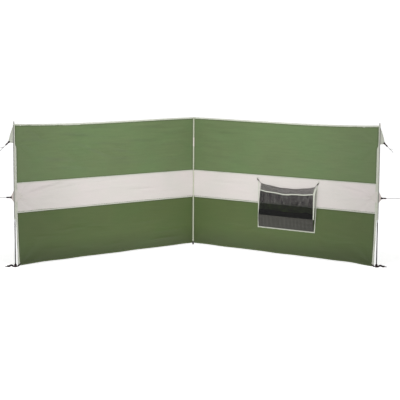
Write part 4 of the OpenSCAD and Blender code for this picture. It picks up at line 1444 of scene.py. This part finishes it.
def closing_tape():
    """Tape down the bag's right side, wider at the top, from its upper corner to its bottom."""
    t = np.linspace(0, 1, 70)[:, None]
    w = np.linspace(0, 1, 5)[None, :]
    z = BAG_LOW - 0.002 + (0.772 - BAG_LOW) * t
    u = BAG_U[1] - 0.003 + 0.006 * t + (0.014 + 0.011 * t) * w
    y = np.interp(z, [BAG_LOW, RIM_TOP, 0.775], [-0.0330, -0.0425, -0.0130])
    y = y + 0.0012 * np.sin(24 * t + 1) * np.sin(math.pi * w)
    u, z = np.broadcast_arrays(u, z)
    return slab(np.stack([u, y, z], -1), 0.0013)


def bag_side(s, out):
    """The closed side between the two nets, which reaches from the rim up to the cord's corner."""
    t = np.linspace(0, 1, 60)
    front_edge, back_edge = front_point(np.full(60, s), t), back_point(np.full(60, s), t)
    front_edge[:, 2] = BAG_LOW + (rim_z(s) - BAG_LOW) * t
    w = np.linspace(0, 1, 9)[:, None, None]
    grid = front_edge + (back_edge - front_edge) * w
    bulge = 0.0016 * np.sin(math.pi * w[..., 0]) * np.sin(math.pi * t)
    grid[..., 0] += out * (0.0006 + bulge)
    return slab(grid, 0.0012, grid[..., [1, 2]])


# a near-black sheet for the painted shade low inside the bag
inner_shade_edge = build("pocket_inner_shade_edge", [turned_up_edge()], *POCKET, mat_pocket_shade, "gusset_fabric")
gusset = build("pocket_base", [slab(gusset_grid(), 0.0009), seam_band()], *POCKET, mat_gusset,
               "gusset_fabric", ["pocket_gusset"])
bag_w = BAG_U[1] - BAG_U[0]
front_net, front_area = net(front_point, bag_w, RIM_TOP - BAG_LOW)
back_net, back_area = net(back_point, bag_w, BACK_TOP - BAG_LOW)
front = build("pocket_front_net", [front_net], *POCKET, mat_net, "mesh", ["pocket_front_mesh"])
back = build("pocket_back_net", [back_net], *POCKET, mat_net, "mesh", ["pocket_back_mesh"])

s_line = np.linspace(0, 1, 220)
rim_line, back_line = front_point(s_line, np.ones(220)), back_point(s_line, np.ones(220))
rim_line[:, 2] = rim_z(s_line)
back_line[:, 2] += 0.001
rim_piece = build("pocket_rim", [folded_over(rim_line, 0.012, 0.0011), closing_tape(),
                                 turned(bag_side(0.0, -1)), bag_side(1.0, 1)],
                  *POCKET, mat_cream, "cream_tape", ["pocket_rim_tape"])
back_edge = build("pocket_back_edge", [folded_over(back_line, 0.004, 0.0008)], *POCKET, mat_net, "mesh")
rim_rows = [(rim_line + [0, sign * 0.0013, -0.0095], face) for face, sign in FACES]
rim_thread = build("pocket_rim_stitching", [stitches(rim_rows, pitch=0.006, length=0.004)],
                   *POCKET, mat_thread_pale, "cream_tape")

# elastic cords at the bag's upper corners, and the tabs on the wall they hook on
CORD_Y = -0.0086
CORD_ENDS = {
    "left": ((BAG_U[0] + BAG_LEAN, CORD_Y, BACK_TOP), (POCKET_U[0] - 0.010, CORD_Y, POCKET_Z[1])),
    "right": ((BAG_U[1], CORD_Y, BACK_TOP), (POCKET_U[1] + FLARE + 0.010, CORD_Y, POCKET_Z[1]))}
# the hook's barrel: distance from the cord's end, and radius
BARREL = np.array([(-0.0265, 0.0020), (-0.0255, 0.0036), (-0.0225, 0.0048), (-0.0130, 0.0052),
                   (-0.0040, 0.0048), (-0.0010, 0.0038), (0.0008, 0.0022)])


def hook_parts(start, end):
    """A barrel on the cord's end, and the curl that goes through the tab."""
    way = (end - start) / np.linalg.norm(end - start)
    a = np.linspace(math.pi, -0.55 * math.pi, 30)
    curl = end + np.stack([0 * a, 0.0032 * (1 + np.cos(a)), 0.0032 * np.sin(a) + 0.0005], -1)
    return [tube(end + way * BARREL[:, :1], BARREL[:, 1], 16),
            tube(curl, np.r_[np.full(27, 0.0011), 0.0010, 0.0008, 0.0004], 10)]


def wall_tab(at_u):
    """A webbing tab folded double on the wall, with its loop at the bottom."""
    path = []
    for a in np.linspace(0, 1, 40):
        if a < 0.42:
            y, up = -0.0012, 0.020 - 0.0135 * a / 0.42
        elif a < 0.58:
            b = (a - 0.42) / 0.16 * math.pi
            y, up = -0.0026 + 0.0014 * math.cos(b), 0.0065 - 0.0024 * math.sin(b)
        else:
            b = (a - 0.58) / 0.42
            y, up = -0.0040 + 0.0011 * b, 0.0065 + 0.0135 * b
        path.append((y, POCKET_Z[1] + up))
    v, f, uv = webbing(path, 0.016, 0.0011)
    return turned((np.stack([v[:, 1] + at_u, v[:, 0], v[:, 2]], -1), f, uv))


elastics, tab_rows, tabs = [], [], []
for name, (start, end) in CORD_ENDS.items():
    start, end = np.array(start), np.array(end)
    elastic = braid(line(start, end), ELASTIC_D, f"pocket_cord_{name}", *POCKET, mat_elastic, "cord",
                    ["pocket_corner_cords"])
    hook = build(f"pocket_hook_{name}", hook_parts(start, end), *POCKET, mat_runner, "runner_plastic")
    tabs.append(wall_tab(end[0]))
    for up in (0.0155, 0.0175):
        at = np.array([end[0], -0.0044, POCKET_Z[1] + up])
        tab_rows.append((line(at - [0.006, 0, 0], at + [0.006, 0, 0], 0.001), FRONT))
    elastics.append((elastic, hook, start, end))
build("pocket_tabs", tabs, *POCKET_WALL, mat_cream, "cream_tape", ["pocket_anchor_tabs"])
build("pocket_tab_stitching", [stitches(tab_rows, pitch=0.0021, length=0.002, r=0.0003)],
      *POCKET_WALL, mat_thread_pale, "cream_tape")
